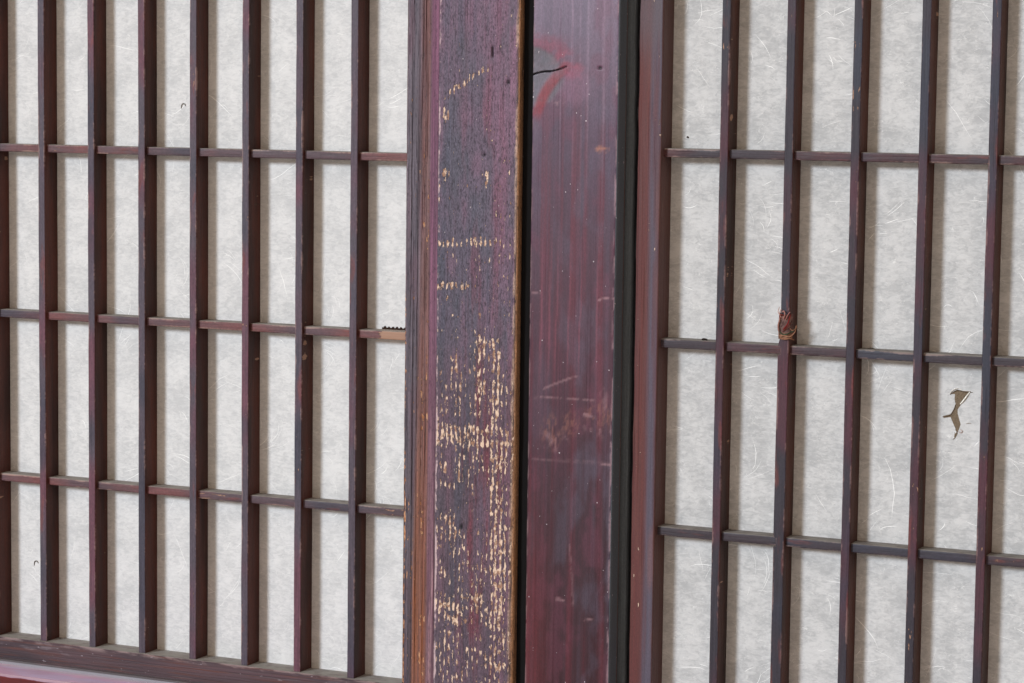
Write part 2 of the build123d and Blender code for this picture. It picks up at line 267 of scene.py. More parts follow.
class Tree:
    """Adds nodes to one shader tree and joins them up. A value is a socket or a constant."""

    def __init__(self, tree):
        self.tree = tree

    def put(self, kind, sockets=None, **settings):
        item = self.tree.nodes.new(kind)
        for key, value in settings.items():
            setattr(item, key, value)
        for key, value in (sockets or {}).items():
            self.feed(item.inputs[key], value)
        return item

    def feed(self, socket, value):
        if isinstance(value, bpy.types.NodeSocket):
            self.tree.links.new(value, socket)
        else:
            socket.default_value = value

    def calc(self, work, first, second=0.0):
        return self.put("ShaderNodeMath", {0: first, 1: second}, operation=work).outputs[0]

    def add(self, *values):
        total = values[0]
        for value in values[1:]:
            total = self.calc("ADD", total, value)
        return total

    def times(self, first, second):
        return self.calc("MULTIPLY", first, second)

    def ease(self, value, low, high, start=0.0, end=1.0):
        """start below low, end above high and a smooth step between them."""
        sockets = {0: value, 1: low, 2: high, 3: start, 4: end}
        return self.put("ShaderNodeMapRange", sockets, interpolation_type="SMOOTHSTEP").outputs[0]

    def blend(self, mask, first, second, kind="MIX"):
        """first where the mask is 0 and second where it is 1."""
        item = self.put("ShaderNodeMix", {0: mask, 6: first, 7: second}, data_type="RGBA")
        item.blend_type = kind
        return item.outputs[2]

    def mixed(self, mask, first, second):
        """As blend, with two colours as seen on a screen."""
        return self.blend(mask, tone(*first), tone(*second))

    def shade(self, colour, factor):
        """The colour times a factor."""
        grey = self.put("ShaderNodeCombineColor", {0: factor, 1: factor, 2: factor}).outputs[0]
        return self.blend(1.0, colour, grey, "MULTIPLY")

    def stretch(self, vector, x, y, z):
        item = self.put("ShaderNodeVectorMath", {0: vector}, operation="MULTIPLY")
        if any(isinstance(part, bpy.types.NodeSocket) for part in (x, y, z)):
            factors = self.put("ShaderNodeCombineXYZ", {0: x, 1: y, 2: z}).outputs[0]
            self.feed(item.inputs[1], factors)
        else:
            item.inputs[1].default_value = (x, y, z)
        return item.outputs[0]

    def noise(self, vector, scale=1.0, detail=3.0, roughness=0.55, distortion=0.0):
        sockets = {"Vector": vector, "Scale": scale, "Detail": detail, "Roughness": roughness,
                   "Distortion": distortion}
        return self.put("ShaderNodeTexNoise", sockets).outputs[0]

    def patchy(self, vector, sizes, low, high, start=0.0, end=1.0, detail=3.0, roughness=0.55):
        """A stretched noise, start below low and end above high."""
        spread = self.noise(self.stretch(vector, *sizes), 1.0, detail, roughness)
        return self.ease(spread, low, high, start, end)

    def use(self, group, sockets):
        """The outputs of a shader group in this tree."""
        item = self.put("ShaderNodeGroup", node_tree=group)
        for key, value in sockets.items():
            self.feed(item.inputs[key], value)
        return item.outputs

    def part(self, vector, axis):
        return self.put("ShaderNodeSeparateXYZ", {0: vector}).outputs[axis]

    def attribute(self, name, output="Fac"):
        return self.put("ShaderNodeAttribute", attribute_name=name).outputs[output]

    def bump(self, height, strength, distance):
        sockets = {"Height": height, "Strength": strength, "Distance": distance}
        return self.put("ShaderNodeBump", sockets).outputs[0]


def shader_group(name, inputs, outputs):
    """An empty group with its sockets: its tree, the inputs' sockets and the output node."""
    kinds = {"vector": "NodeSocketVector", "value": "NodeSocketFloat"}
    group = bpy.data.node_groups.new(name, "ShaderNodeTree")
    for label, kind in inputs:
        group.interface.new_socket(name=label, in_out="INPUT", socket_type=kinds[kind])
    for label, kind in outputs:
        group.interface.new_socket(name=label, in_out="OUTPUT", socket_type=kinds[kind])
    tree = Tree(group)
    given = tree.put("NodeGroupInput").outputs
    result = tree.put("NodeGroupOutput").inputs
    return group, tree, given, result


def make_grain_group():
    """Wood grain that runs along z: fine streaks, soft clouds and thin dark pores. Fineness is
    the number of streaks in a metre across the grain, and Stretch the same along it."""
    group, tree, given, result = shader_group(
        "wood_grain",
        [("Vector", "vector"), ("Fineness", "value"), ("Stretch", "value")],
        [("Streak", "value"), ("Cloud", "value"), ("Pore", "value")])
    across, along = given["Fineness"], given["Stretch"]
    fine = tree.stretch(given["Vector"], across, across, along)
    tree.feed(result["Streak"], tree.noise(fine, 1.0, 5.0, 0.62))
    tree.feed(result["Cloud"], tree.noise(tree.stretch(fine, 0.06, 0.06, 0.35), 1.0, 3.0))
    pores = tree.noise(tree.stretch(fine, 1.9, 1.9, 0.7), 1.0, 2.0)
    tree.feed(result["Pore"], tree.ease(pores, 0.6, 0.72))
    return group


def make_wear_group():
    """Ragged wear along the arrises: the edge value times Amount plus two noises, cut off."""
    group, tree, given, result = shader_group(
        "arris_wear", [("Vector", "vector"), ("Edge", "value"), ("Amount", "value")],
        [("Mask", "value")])
    coarse = tree.noise(given["Vector"], 60.0, 3.0)
    fine = tree.noise(given["Vector"], 420.0, 3.0)
    worn = tree.times(given["Edge"], given["Amount"])
    ragged = tree.add(worn, tree.times(coarse, 0.7), tree.times(fine, 0.45))
    tree.feed(result["Mask"], tree.ease(ragged, 1.1, 1.32))
    return group


def make_speck_group():
    """Lacquer gone in upright chips that stand in loose columns and rows: a noise stretched
    along z, plus two shallow waves, one across and one along, plus the Density, cut off.
    Mask is the bare middle of a chip and Rim the dark line round it."""
    group, tree, given, result = shader_group(
        "lost_specks", [("Vector", "vector"), ("Density", "value")],
        [("Mask", "value"), ("Rim", "value")])
    vector = given["Vector"]
    ragged = tree.noise(tree.stretch(vector, 640.0, 0.0, 190.0), 1.0, 3.0, 0.6)
    drift = tree.times(tree.noise(tree.stretch(vector, 45.0, 0.0, 30.0), 1.0, 2.0), 9.0)
    column = tree.calc("SINE", tree.add(tree.times(tree.part(vector, 0), 1750.0), drift))
    row = tree.calc("SINE", tree.add(tree.times(tree.part(vector, 2), 640.0), drift))
    value = tree.add(ragged, tree.times(column, 0.075), tree.times(row, 0.03),
                     tree.times(given["Density"], 0.3))
    there = tree.ease(given["Density"], 0.01, 0.06)
    tree.feed(result["Mask"], tree.times(there, tree.ease(value, 0.775, 0.81)))
    tree.feed(result["Rim"], tree.times(there, tree.ease(value, 0.735, 0.775)))
    return group


def make_dust_group():
    """Dust on faces that look up: the upward part of the normal times a blotchy noise."""
    group, tree, given, result = shader_group(
        "settled_dust", [("Vector", "vector"), ("Normal", "vector")], [("Mask", "value")])
    upward = tree.ease(tree.part(given["Normal"], 2), 0.35, 0.85)
    blotches = tree.ease(tree.noise(given["Vector"], 110.0, 4.0), 0.25, 0.6, 0.45, 1.0)
    tree.feed(result["Mask"], tree.times(upward, blotches))
    return group


def make_washi_group():
    """Handmade paper. Cloud is thicker and thinner pulp, Flow its fine level wrinkles, and Hair
    thin crossing fibres: a band round the middle value of a bent noise, broken by another."""
    group, tree, given, result = shader_group(
        "washi_pulp", [("Vector", "vector")],
        [("Cloud", "value"), ("Flow", "value"), ("Hair", "value")])
    vector = given["Vector"]
    tree.feed(result["Cloud"], tree.noise(vector, 45.0, 4.0, 0.65))
    tree.feed(result["Flow"], tree.noise(tree.stretch(vector, 190.0, 190.0, 430.0), 1.0, 5.0,
                                         0.7, 0.8))
    hairs = []
    for across, along, bend in ((70.0, 210.0, 1.1), (120.0, 160.0, 1.6)):
        bent = tree.noise(tree.stretch(vector, across, across, along), 1.0, 2.0, 0.5, bend)
        off = tree.calc("ABSOLUTE", tree.calc("SUBTRACT", bent, 0.5))
        hairs.append(tree.ease(off, 0.0025, 0.011, 1.0, 0.0))
    broken = tree.ease(tree.noise(vector, 150.0, 2.0), 0.5, 0.62)
    tree.feed(result["Hair"], tree.times(tree.calc("MAXIMUM", hairs[0], hairs[1]), broken))
    return group


GRAIN = make_grain_group()
WEAR = make_wear_group()
SPECKS = make_speck_group()
DUST = make_dust_group()
PULP = make_washi_group()


class Finish(Tree):
    """A material with one Principled shader. It holds the piece's own coordinates and the colour
    so far, on which further colours are laid."""

    def __init__(self, name, roughness, specular, coat=0.0, coat_roughness=0.2):
        self.material = bpy.data.materials.new(name)
        self.material.use_nodes = True
        super().__init__(self.material.node_tree)
        self.inputs = self.tree.nodes["Principled BSDF"].inputs
        for key, value in (("Roughness", roughness), ("Specular IOR Level", specular),
                           ("Coat Weight", coat), ("Coat Roughness", coat_roughness)):
            self.inputs[key].default_value = value
        coordinates = self.put("ShaderNodeTexCoord").outputs
        self.place, self.normal = coordinates["Object"], coordinates["Normal"]
        self.colour = None

    def along(self, level):
        """The coordinates, for a level piece turned a quarter round y, so that what runs along z
        runs along x."""
        turn = {"Vector": self.place, "Rotation": (0, math.pi / 2, 0)}
        return self.put("ShaderNodeMapping", turn).outputs[0] if level else self.place

    def grain(self, vector, fineness, stretch):
        return self.use(GRAIN, {"Vector": vector, "Fineness": fineness, "Stretch": stretch})

    def wear(self, edge, amount):
        return self.use(WEAR, {"Vector": self.place, "Edge": edge, "Amount": amount})["Mask"]

    def dust(self):
        return self.use(DUST, {"Vector": self.place, "Normal": self.normal})["Mask"]

    def lay(self, mask, colour, strength=1.0):
        """Lays a colour over the one so far, as strongly as the mask times strength."""
        if strength != 1.0:
            mask = self.times(mask, strength)
        self.colour = self.blend(mask, self.colour, tone(*colour))

    def vary(self, factor):
        self.colour = self.shade(self.colour, factor)

    def done(self, height, strength, distance, rough=None):
        """Joins the colour, the relief and, where it varies, the roughness to the shader."""
        self.feed(self.inputs["Base Color"], self.colour)
        if rough is not None:
            self.feed(self.inputs["Roughness"], rough)
        self.feed(self.inputs["Normal"], self.bump(height, strength, distance))
        return self.material


PORE = (30, 20, 22)


def lattice_wood(name, level, front, front_red, side, side_dark, arris, dust):
    """Thin old lacquer on the lattice: fronts weathered to a purple grey with redder and bluer
    stretches, sides still deep red brown, arrises rubbed paler, chips where the attribute bare
    is high, and dust on what looks up."""
    wood = Finish(name, 0.5, 0.3)
    vector = wood.along(level)
    grain = wood.grain(vector, 900.0, 26.0)
    facing = wood.ease(wood.times(wood.part(wood.normal, 1), -1.0), 0.45, 0.8)
    wood.colour = wood.mixed(wood.patchy(vector, (14.0, 14.0, 9.0), 0.46, 0.62), front, front_red)
    wood.lay(wood.patchy(vector, (17.0, 17.0, 11.0), 0.52, 0.64, detail=2.0), (46, 50, 64), 0.55)
    wood.lay(wood.patchy(vector, (120.0, 120.0, 24.0), 0.6, 0.7), (122, 58, 48), 0.4)
    sides = wood.mixed(wood.ease(grain["Cloud"], 0.35, 0.7), side, side_dark)
    wood.colour = wood.blend(facing, sides, wood.colour)
    wood.vary(wood.ease(grain["Streak"], 0.25, 0.75, 0.78, 1.2))
    wood.vary(wood.patchy(vector, (1100.0, 1100.0, 480.0), 0.3, 0.7, 0.82, 1.18, roughness=0.65))
    wood.lay(grain["Pore"], PORE, 0.35)
    wood.lay(wood.wear(wood.attribute("edge"), 0.5), arris, 0.5)
    lost = wood.use(SPECKS, {"Vector": vector, "Density": wood.attribute("bare")})
    wood.lay(lost["Rim"], (48, 34, 32), 0.6)
    wood.lay(lost["Mask"], (176, 136, 112), 0.75)
    dusty = wood.dust()
    wood.lay(dusty, dust, 0.85)
    rough = wood.add(wood.ease(grain["Streak"], 0.3, 0.7, 0.42, 0.6), wood.times(dusty, 0.3))
    height = wood.add(grain["Streak"], wood.times(grain["Pore"], -0.5),
                      wood.times(lost["Mask"], -1.0))
    return wood.done(height, 0.4, 0.0006, rough)


def painted_wood(name, pale, pale_mix, amount, fineness, stretch, relief, rough=(0.45, 0.65),
                 streaks=(0.8, 1.18), specks=(232, 202, 178), pores=0.4, pits=0.0, dots=0.0,
                 dim=(158, 120, 98), mottle=0.12):
    """Wood whose broad colours come with the mesh, as the attribute paint. The shader adds the
    grain, a fine mottle, the chips where the attribute bare is high, dark pits, pale dots of
    dust and the rubbed arrises. What is painted nearly black, as shade deep in a gap, is dull."""
    wood = Finish(name, 0.5, 0.3)
    place, painted = wood.place, wood.attribute("paint", "Color")
    grain = wood.grain(place, fineness, stretch)
    wood.colour = painted
    wood.vary(wood.ease(grain["Streak"], 0.25, 0.75, *streaks))
    wood.vary(wood.patchy(place, (1300.0, 1300.0, 620.0), 0.3, 0.7, 1.0 - mottle, 1.0 + mottle,
                          roughness=0.65))
    wood.lay(grain["Pore"], (38, 26, 28), pores)
    pitted = wood.patchy(place, (780.0, 780.0, 250.0), 0.34, 0.42, 1.0, 0.0)
    wood.lay(pitted, (44, 40, 48), pits)
    lost = wood.use(SPECKS, {"Vector": place, "Density": wood.attribute("bare")})
    chip = wood.mixed(wood.ease(wood.noise(place, 330.0, 2.0), 0.42, 0.6), specks, dim)
    wood.lay(lost["Rim"], (46, 36, 38), 0.55)
    wood.colour = wood.blend(wood.times(lost["Mask"], 0.9), wood.colour, chip)
    wood.lay(wood.wear(wood.attribute("edge"), amount), pale, pale_mix)
    # Paint below the first level is painted shade deep in a gap, above the second the wood's own
    # colour
    black, lit = 0.0062, 0.0095     # linear brightness of the paint, in a gap and out of it
    dust = wood.times(wood.ease(wood.noise(place, 560.0, 0.0), 0.835, 0.87),
                      wood.ease(painted, black, lit))
    wood.lay(dust, (214, 202, 208), dots)
    roughness = wood.add(wood.ease(grain["Streak"], 0.3, 0.7, *rough),
                         wood.times(lost["Mask"], 0.2), wood.ease(painted, black, lit, 1.0, 0.0))
    height = wood.add(grain["Streak"], wood.times(grain["Pore"], -0.6),
                      wood.times(lost["Mask"], -0.9), wood.times(pitted, -0.8 * pits))
    return wood.done(height, 0.5, relief, roughness)


def frame_lacquer(name, level, lines):
    """Red lacquer of the frame, brushed along the wood. Faces that look up, and the grooves of
    the sill, have gone mauve with lilac-grey patches, less so on top of the head. The front
    arrises are rubbed thin. lines are (axis, place) pairs of millimetres that give the rubbed
    line."""
    wood = Finish(name, 0.36, 0.35, 0.18, 0.28)
    vector, place = wood.along(level), wood.place
    grain = wood.grain(vector, 420.0, 9.0)
    wood.colour = wood.mixed(wood.ease(grain["Cloud"], 0.35, 0.65), (98, 14, 16), (74, 10, 14))
    wood.vary(wood.ease(grain["Streak"], 0.3, 0.72, 0.7, 1.22))
    wood.lay(wood.patchy(place, (260.0, 260.0, 30.0), 0.55, 0.7), (60, 12, 16), 0.35)
    wood.lay(wood.patchy(vector, (95.0, 95.0, 16.0), 0.62, 0.72), (146, 60, 40), 0.4)
    upward = wood.ease(wood.part(wood.normal, 2), 0.5, 0.9)
    mottle = wood.noise(wood.stretch(vector, 40.0, 40.0, 16.0), 1.0, 4.0)
    pinkish = wood.mixed(wood.ease(mottle, 0.42, 0.62), (216, 176, 208), (206, 186, 222))
    if level:
        # The sill's top lies at 45 mm and the floors of its grooves at 41.7 mm. Between the
        # grooves a ridge runs along the middle.
        height = wood.part(place, 2)
        deep = wood.calc("ABSOLUTE", wood.part(place, 1))
        below = wood.ease(height, 0.0448, 0.0462, 1.0, 0.0)
        in_groove = wood.times(wood.ease(deep, 0.0235, 0.025, 1.0, 0.0),
                               wood.times(wood.ease(height, 0.0405, 0.0415), below))
        ragged = wood.times(wood.noise(wood.stretch(vector, 120.0, 120.0, 60.0), 1.0, 3.0), 0.003)
        front_rim = wood.times(wood.ease(wood.add(height, ragged), 0.0438, 0.0448),
                               wood.times(wood.ease(deep, 0.0442, 0.0447), below))
        upward = wood.calc("MAXIMUM", upward, wood.calc("MAXIMUM", in_groove, front_rim))
        inner = wood.ease(deep, 0.0205, 0.025, 1.0, 0.0)
        lilac = wood.mixed(wood.ease(mottle, 0.35, 0.6), (218, 192, 210), (206, 196, 214))
        pinkish = wood.blend(wood.times(inner, 0.9), pinkish, lilac)
        ridge = wood.times(wood.ease(deep, 0.0042, 0.0046, 1.0, 0.0),
                           wood.times(wood.ease(height, 0.0402, 0.0407), below))
        # Painted shade: the ridge's top, beside the rails, is dark; lower down the ridge is grey
        ridge_grey_and_shade = wood.mixed(wood.ease(height, 0.0432, 0.044), (146, 143, 149), (82, 76, 77))
        pinkish = wood.blend(ridge, pinkish, ridge_grey_and_shade)
        pinkish = wood.blend(front_rim, pinkish, tone(168, 138, 152))
    pinkish = wood.blend(wood.patchy(vector, (90.0, 90.0, 14.0), 0.56, 0.68, 0.0, 0.25), pinkish,
                         tone(184, 120, 138))
    dry = wood.times(wood.ease(wood.noise(vector, 30.0, 4.0), 0.3, 0.6, 0.9, 1.0),
                     wood.ease(wood.part(place, 2), 0.3, 0.6, 1.0, 0.45))
    wood.colour = wood.blend(wood.times(upward, dry), wood.colour, pinkish)
    squares = 0.0
    for axis, where in lines:
        gap = wood.calc("SUBTRACT", wood.calc("ABSOLUTE", wood.part(place, axis)), where * MM)
        squares = wood.add(wood.times(gap, gap), squares)
    edge = wood.ease(wood.calc("SQRT", squares), 0.0003, 0.0035, 1.0, 0.0)
    wood.lay(wood.wear(edge, 0.5), (196, 156, 158), 0.55)
    rough = wood.add(wood.ease(grain["Streak"], 0.3, 0.7, 0.28, 0.44), wood.times(upward, 0.12))
    return wood.done(grain["Streak"], 0.3, 0.0007, rough)


def plain_wood(name, base, deep, arris, level=False, brown=(92, 52, 44)):
    """Dark lacquer on stiles and rails: fine brown and black streaks, a few pale flecks and
    rubbed places, and a veil of dust on what looks up."""
    wood = Finish(name, 0.48, 0.3)
    vector = wood.along(level)
    grain = wood.grain(vector, 800.0, 16.0)
    wood.colour = wood.mixed(wood.ease(grain["Cloud"], 0.3, 0.7), base, deep)
    wood.lay(wood.patchy(vector, (520.0, 520.0, 22.0), 0.5, 0.68, 0.0, 0.75, 4.0, 0.6), brown)
    wood.vary(wood.ease(grain["Streak"], 0.25, 0.75, 0.72, 1.24))
    wood.lay(grain["Pore"], PORE, 0.4)
    wood.lay(wood.patchy(vector, (420.0, 420.0, 190.0), 0.7, 0.74, detail=2.0), arris, 0.6)
    wood.lay(wood.patchy(vector, (150.0, 150.0, 26.0), 0.6, 0.72, detail=4.0), arris, 0.3)
    if level:
        # The upper front rim of the bottom rail, whose top lies at 61.5 mm
        height = wood.part(wood.place, 2)
        rim = wood.times(wood.ease(height, 0.0575, 0.0612),
                         wood.patchy(vector, (260.0, 260.0, 60.0), 0.42, 0.6, detail=4.0))
        wood.lay(wood.times(rim, wood.ease(height, 0.0616, 0.0622, 0.5, 0.0)), (176, 152, 148))
    dusty = wood.dust()
    wood.lay(dusty, (154, 150, 144))
    rough = wood.add(wood.ease(grain["Streak"], 0.3, 0.7, 0.42, 0.6), wood.times(dusty, 0.3))
    height = wood.add(grain["Streak"], wood.times(grain["Pore"], -0.5))
    return wood.done(height, 0.35, 0.0007, rough)


def washi(name, base, thin, relief):
    """Handmade paper: pale, matt, wrinkled, with hairs of longer fibre pressed into it."""
    paper = Finish(name, 0.9, 0.15)
    pulp = paper.use(PULP, {"Vector": paper.place})
    mix = paper.add(paper.times(pulp["Cloud"], 0.45), paper.times(pulp["Flow"], 0.55))
    paper.colour = paper.mixed(paper.ease(mix, 0.36, 0.62), thin, base)
    paper.lay(pulp["Hair"], (250, 249, 247), 0.45)
    height = paper.add(paper.times(pulp["Cloud"], 0.8), pulp["Flow"],
                       paper.times(pulp["Hair"], 0.25))
    return paper.done(height, 0.6, relief)


def scrap_fibre():
    """Loose scraps of thread, cloth and paper: the attribute paint with a fine fibre grain."""
    scrap = Finish("scrap_fibre", 0.9, 0.1)
    fine = scrap.noise(scrap.place, 1500.0, 3.0, 0.6)
    scrap.colour = scrap.attribute("paint", "Color")
    scrap.vary(scrap.ease(fine, 0.3, 0.7, 0.7, 1.25))
    return scrap.done(fine, 0.5, 0.0003)


# Per material: fronts, redder fronts, sides, darker sides, rubbed arrises and dust
LATTICE_TONES = {
    ("left", "bar"): ((78, 68, 78), (96, 60, 72), (82, 40, 31), (47, 23, 20), (166, 136, 130),
                      (150, 145, 136)),
    ("right", "bar"): ((48, 42, 50), (74, 40, 50), (77, 37, 27), (43, 21, 18), (150, 120, 116),
                       (146, 141, 134)),
    ("left", "crossbar"): ((82, 64, 70), (108, 66, 66), (80, 48, 40), (54, 34, 32),
                           (176, 146, 134), (158, 153, 146)),
    ("right", "crossbar"): ((56, 46, 52), (82, 46, 48), (72, 42, 36), (48, 32, 30),
                            (158, 134, 126), (146, 142, 136))}
lattice_woods = {
    (side, member): lattice_wood(f"{side}_{member}_wood", member == "crossbar", *tones)
    for (side, member), tones in LATTICE_TONES.items()}
rail_wood = plain_wood("rail_wood", (84, 62, 66), (52, 40, 46), (150, 140, 146), level=True)
outer_stile_wood = plain_wood("outer_stile_wood", (94, 62, 64), (66, 48, 56), (150, 128, 128))
pin_wood = plain_wood("pin_wood", (170, 132, 92), (134, 98, 66), (204, 176, 140),
                      brown=(120, 84, 56))
weathered_stile_wood = painted_wood(
    "weathered_stile_wood", (206, 162, 132), 0.6, 0.45, 900.0, 9.0, 0.0012, (0.55, 0.75),
    (0.5, 1.42), (206, 156, 120), pits=0.35, dim=(170, 112, 76))
inner_stile_wood = painted_wood(
    "inner_stile_wood", (150, 122, 118), 0.5, 0.42, 560.0, 14.0, 0.0006, streaks=(0.86, 1.13),
    pores=0.25)
worn_upright_wood = painted_wood(
    "worn_upright_wood", (206, 178, 180), 0.75, 0.5, 760.0, 22.0, 0.001, pits=0.55, pores=0.3,
    dots=0.4, mottle=0.34)
smooth_upright_wood = painted_wood(
    "smooth_upright_wood", (186, 146, 146), 0.5, 0.42, 420.0, 7.0, 0.0003, (0.34, 0.5),
    (0.93, 1.06), pores=0.08, dots=0.75, mottle=0.16)
sill_lacquer = frame_lacquer("sill_red_lacquer", True, ((1, 45.0), (2, 45.0)))
post_lacquer = frame_lacquer("post_red_lacquer", False, ((1, 45.0), (0, 735.4)))
paper_pulp = {"left": washi("left_washi_paper", (227, 226, 225), (201, 201, 201), 0.0005),
              "right": washi("right_washi_paper", (213, 212, 211), (181, 181, 181), 0.0006)}
fibre_pulp = washi("washi_fibre", (255, 254, 252), (244, 244, 242), 0.0001)
loose_scrap = scrap_fibre()


# Lattice

BAR_TENON, CROSSBAR_TENON = 13.0, 9.5   # how far the tenons reach back from the front
JOINT_STEP = 8.0                        # between rows in tenons and notches


def rail_faces(side):
    """Height of the bottom rail's top and of the top rail's underside."""
    return extent(f"{side}_bottom_rail")[1][2], extent(f"{side}_top_rail")[0][2]


def stile_faces(side):
    """The two faces of a screen's stiles between which the lattice lies."""
    places = sorted([extent(f"{side}_outer_stile"), extent(f"{side}_inner_stile")],
                    key=lambda box: box[0][0])
    return places[0][1][0], places[1][0][0]


def lattice_radii(places, least, swing, seed):
    """Radii of the four corners of a bar or crossbar."""
    return np.stack([rubbed_radius(places, least, swing, 31.0, corner * 7.3, seed + corner)
                     for corner in range(4)], 1)


def lattice_chips(u, v, seed):
    """How bare the lacquer is: a few places of a layered noise, and nothing between them."""
    return 0.62 * ease(layered_noise(u, v, seed, 3), 0.62, 0.85)


def lattice_bar(side, number, seed):
    """A vertical bar, notched from the back for each crossbar and let into both rails. Low down
    the second bar of the right screen is wider towards its left."""
    node = f"{side}_bar_{number:02d}"
    low, high = extent(node)
    bottom, top = rail_faces(side)
    crossbars = [extent(f"{side}_crossbar_{n}") for n in range(1, CROSSBARS + 1)]
    seam = (crossbars[0][0][1] + crossbars[0][1][1]) / 2
    parts, at = [(low[2], bottom, JOINT_STEP, "tenon")], bottom
    for cross_low, cross_high in crossbars:
        step = 7.0 if at < SEEN_HIGH else 13.0
        parts += [(at, cross_low[2], step, "plain"),
                  (cross_low[2], cross_high[2], JOINT_STEP, "notch")]
        at = cross_high[2]
    parts += [(at, top, 13.0, "plain"), (top, high[2], JOINT_STEP, "tenon")]
    places, states = stretches(parts)
    marks = section([(low[0], low[1], 1, 3), (high[0], low[1], 1, 4),
                     (high[0], high[1], 0, 1), (low[0], high[1], 0, 4)])
    radii = lattice_radii(places, 0.45, 1.0, seed)
    limits = np.tile(NO_LIMITS, (len(places), 1))
    limits[states == "notch", 3] = seam
    limits[states == "tenon", 3] = low[1] + BAR_TENON
    sway = np.stack([0.3 * (layered_noise(places / 80.0, 3.1, seed + 9, 3) - 0.5),
                     0.2 * layered_noise(places / 60.0, 9.1, seed + 15, 3)], 1)
    sway[:, 1] = np.where(states == "plain", sway[:, 1], 0.1)
    points = carry(marks, radii, places, limits, sway=sway)
    points[..., 1] = np.minimum(points[..., 1], high[1])
    if node == "right_bar_02":
        left_half = (points[..., 0] < (low[0] + high[0]) / 2) & (states == "plain")[:, None]
        points[..., 0] -= 1.7 * left_half * (1 - ease(points[..., 2], 327, 331))
    edge = arris_wear(marks, 0.5 + 0.8 * radii * [1, 1, 0, 0], 0.9)
    along, deep = points[..., 2], points[..., 1] - low[1]
    bare = lattice_chips(along / 21.0, deep / 8.0 + 3.3, seed + 31)
    vertices, faces = closed_tube(points)
    piece = make_piece(f"{side}_lattice_bar_{number:02d}", vertices, faces,
                       lattice_woods[side, "bar"], {"edge": edge, "bare": bare})
    return piece, node


def lattice_crossbar(side, number, seed):
    """A crossbar, notched from the front for each bar and let into both stiles."""
    node = f"{side}_crossbar_{number}"
    low, high = extent(node)
    left, right = stile_faces(side)
    bars = [extent(f"{side}_bar_{n:02d}") for n in range(1, BARS + 1)]
    seam = (low[1] + high[1]) / 2
    fine = low[2] < SEEN_HIGH
    parts, at = [(low[0], left, JOINT_STEP, "tenon")], left
    for bar_low, bar_high in bars:
        seen = fine and SEEN_LEFT < at < SEEN_RIGHT
        parts += [(at, bar_low[0], 4.0 if seen else 10.0, "plain"),
                  (bar_low[0], bar_high[0], JOINT_STEP, "notch")]
        at = bar_high[0]
    parts += [(at, right, 5.0 if fine else 10.0, "plain"),
              (right, high[0], JOINT_STEP, "tenon")]
    places, states = stretches(parts)
    marks = section([(-high[2], low[1], 1, 3), (-low[2], low[1], 1, 4),
                     (-low[2], high[1], 0, 1), (-high[2], high[1], 0, 4)])
    radii = lattice_radii(places, 0.4, 1.1, seed)
    limits = np.tile([*NO_LIMITS[:3], high[1]], (len(places), 1))
    limits[states == "notch", 2] = seam
    limits[states == "tenon", 3] = low[1] + CROSSBAR_TENON
    points = carry(marks, radii, places, limits, level=True)
    edge = arris_wear(marks, 0.5 + 0.9 * radii * [1, 1, 0, 0], 0.9)
    along, deep = points[..., 0], points[..., 1] - low[1]
    bare = lattice_chips(along / 24.0, deep / 8.0 + 5.1, seed + 31)
    if node == "left_crossbar_2":
        bare = bare + 2.4 * ease(along, -152, -112) * ease(
            layered_noise(along / 9.0, deep / 5.0, seed + 37, 3), 0.2, 0.5)
    vertices, faces = closed_tube(points)
    piece = make_piece(f"{side}_lattice_crossbar_{number}", vertices, faces,
                       lattice_woods[side, "crossbar"], {"edge": edge, "bare": bare})
    return piece, node


for side_number, side in enumerate(SCREENS):
    for number in range(1, BARS + 1):
        piece, node = lattice_bar(side, number, 100 * side_number + 11 * number)
        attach(piece, f"{side}_screen")
        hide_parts(node)
    for number in range(1, CROSSBARS + 1):
        piece, node = lattice_crossbar(side, number, 500 + 100 * side_number + 13 * number)
        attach(piece, f"{side}_screen")
        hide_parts(node)


# Wide boards: the inner stiles and the two uprights

END = 10.0                                      # length of the uprights' stubs
LAP = 14.5                                      # how far the smooth one laps the worn one
KNOT_LOW, KNOT_HIGH, KNOT_ROWS = 476, 528, 116  # finer rows round the half knot


def board_rows(low, high, seen_step, plain_step):
    """Rows of an upright board: fine where the photograph shows it, coarser above, and an end
    stretch of another section at the bottom and the top."""
    return stretches([
        (low, low + END, JOINT_STEP, "foot"), (low + END, SEEN_LOW, 4.0, "body"),
        (SEEN_LOW, SEEN_HIGH, seen_step, "body"), (SEEN_HIGH, high - END, plain_step, "body"),
        (high - END, high, JOINT_STEP, "crown")])


def spot(u, v, centre, size, slant=0.0):
    """1 at the centre of an ellipse, falling to 0 at its rim. slant turns it, in degrees."""
    angle = math.radians(slant)
    du, dv = u - centre[0], v - centre[1]
    along = du * math.cos(angle) + dv * math.sin(angle)
    beside = dv * math.cos(angle) - du * math.sin(angle)
    return 1 - ease(np.hypot(along / size[0], beside / size[1]), 0.45, 1.0)


def stroke(u, v, start, end, width, sag=0.0):
    """1 on a line from start to end, falling to 0 at width from it. sag bends its middle."""
    start, end = np.array(start, float), np.array(end, float)
    gap = end - start
    length = np.hypot(*gap)
    t = np.clip(((u - start[0]) * gap[0] + (v - start[1]) * gap[1]) / length**2, 0, 1)
    bend = sag * 4 * t * (1 - t)
    cu = start[0] + t * gap[0] - bend * gap[1] / length
    cv = start[1] + t * gap[1] + bend * gap[0] / length
    return 1 - ease(np.hypot(u - cu, v - cv), width * 0.35, width)


def blend_by_height(z, stops):
    """Colours by height: straight mixing between (height, colour) stops."""
    heights = [stop[0] for stop in stops]
    colours = np.array([tone(*stop[1])[:3] for stop in stops])
    return np.stack([np.interp(z, heights, colours[:, part]) for part in range(3)], -1)


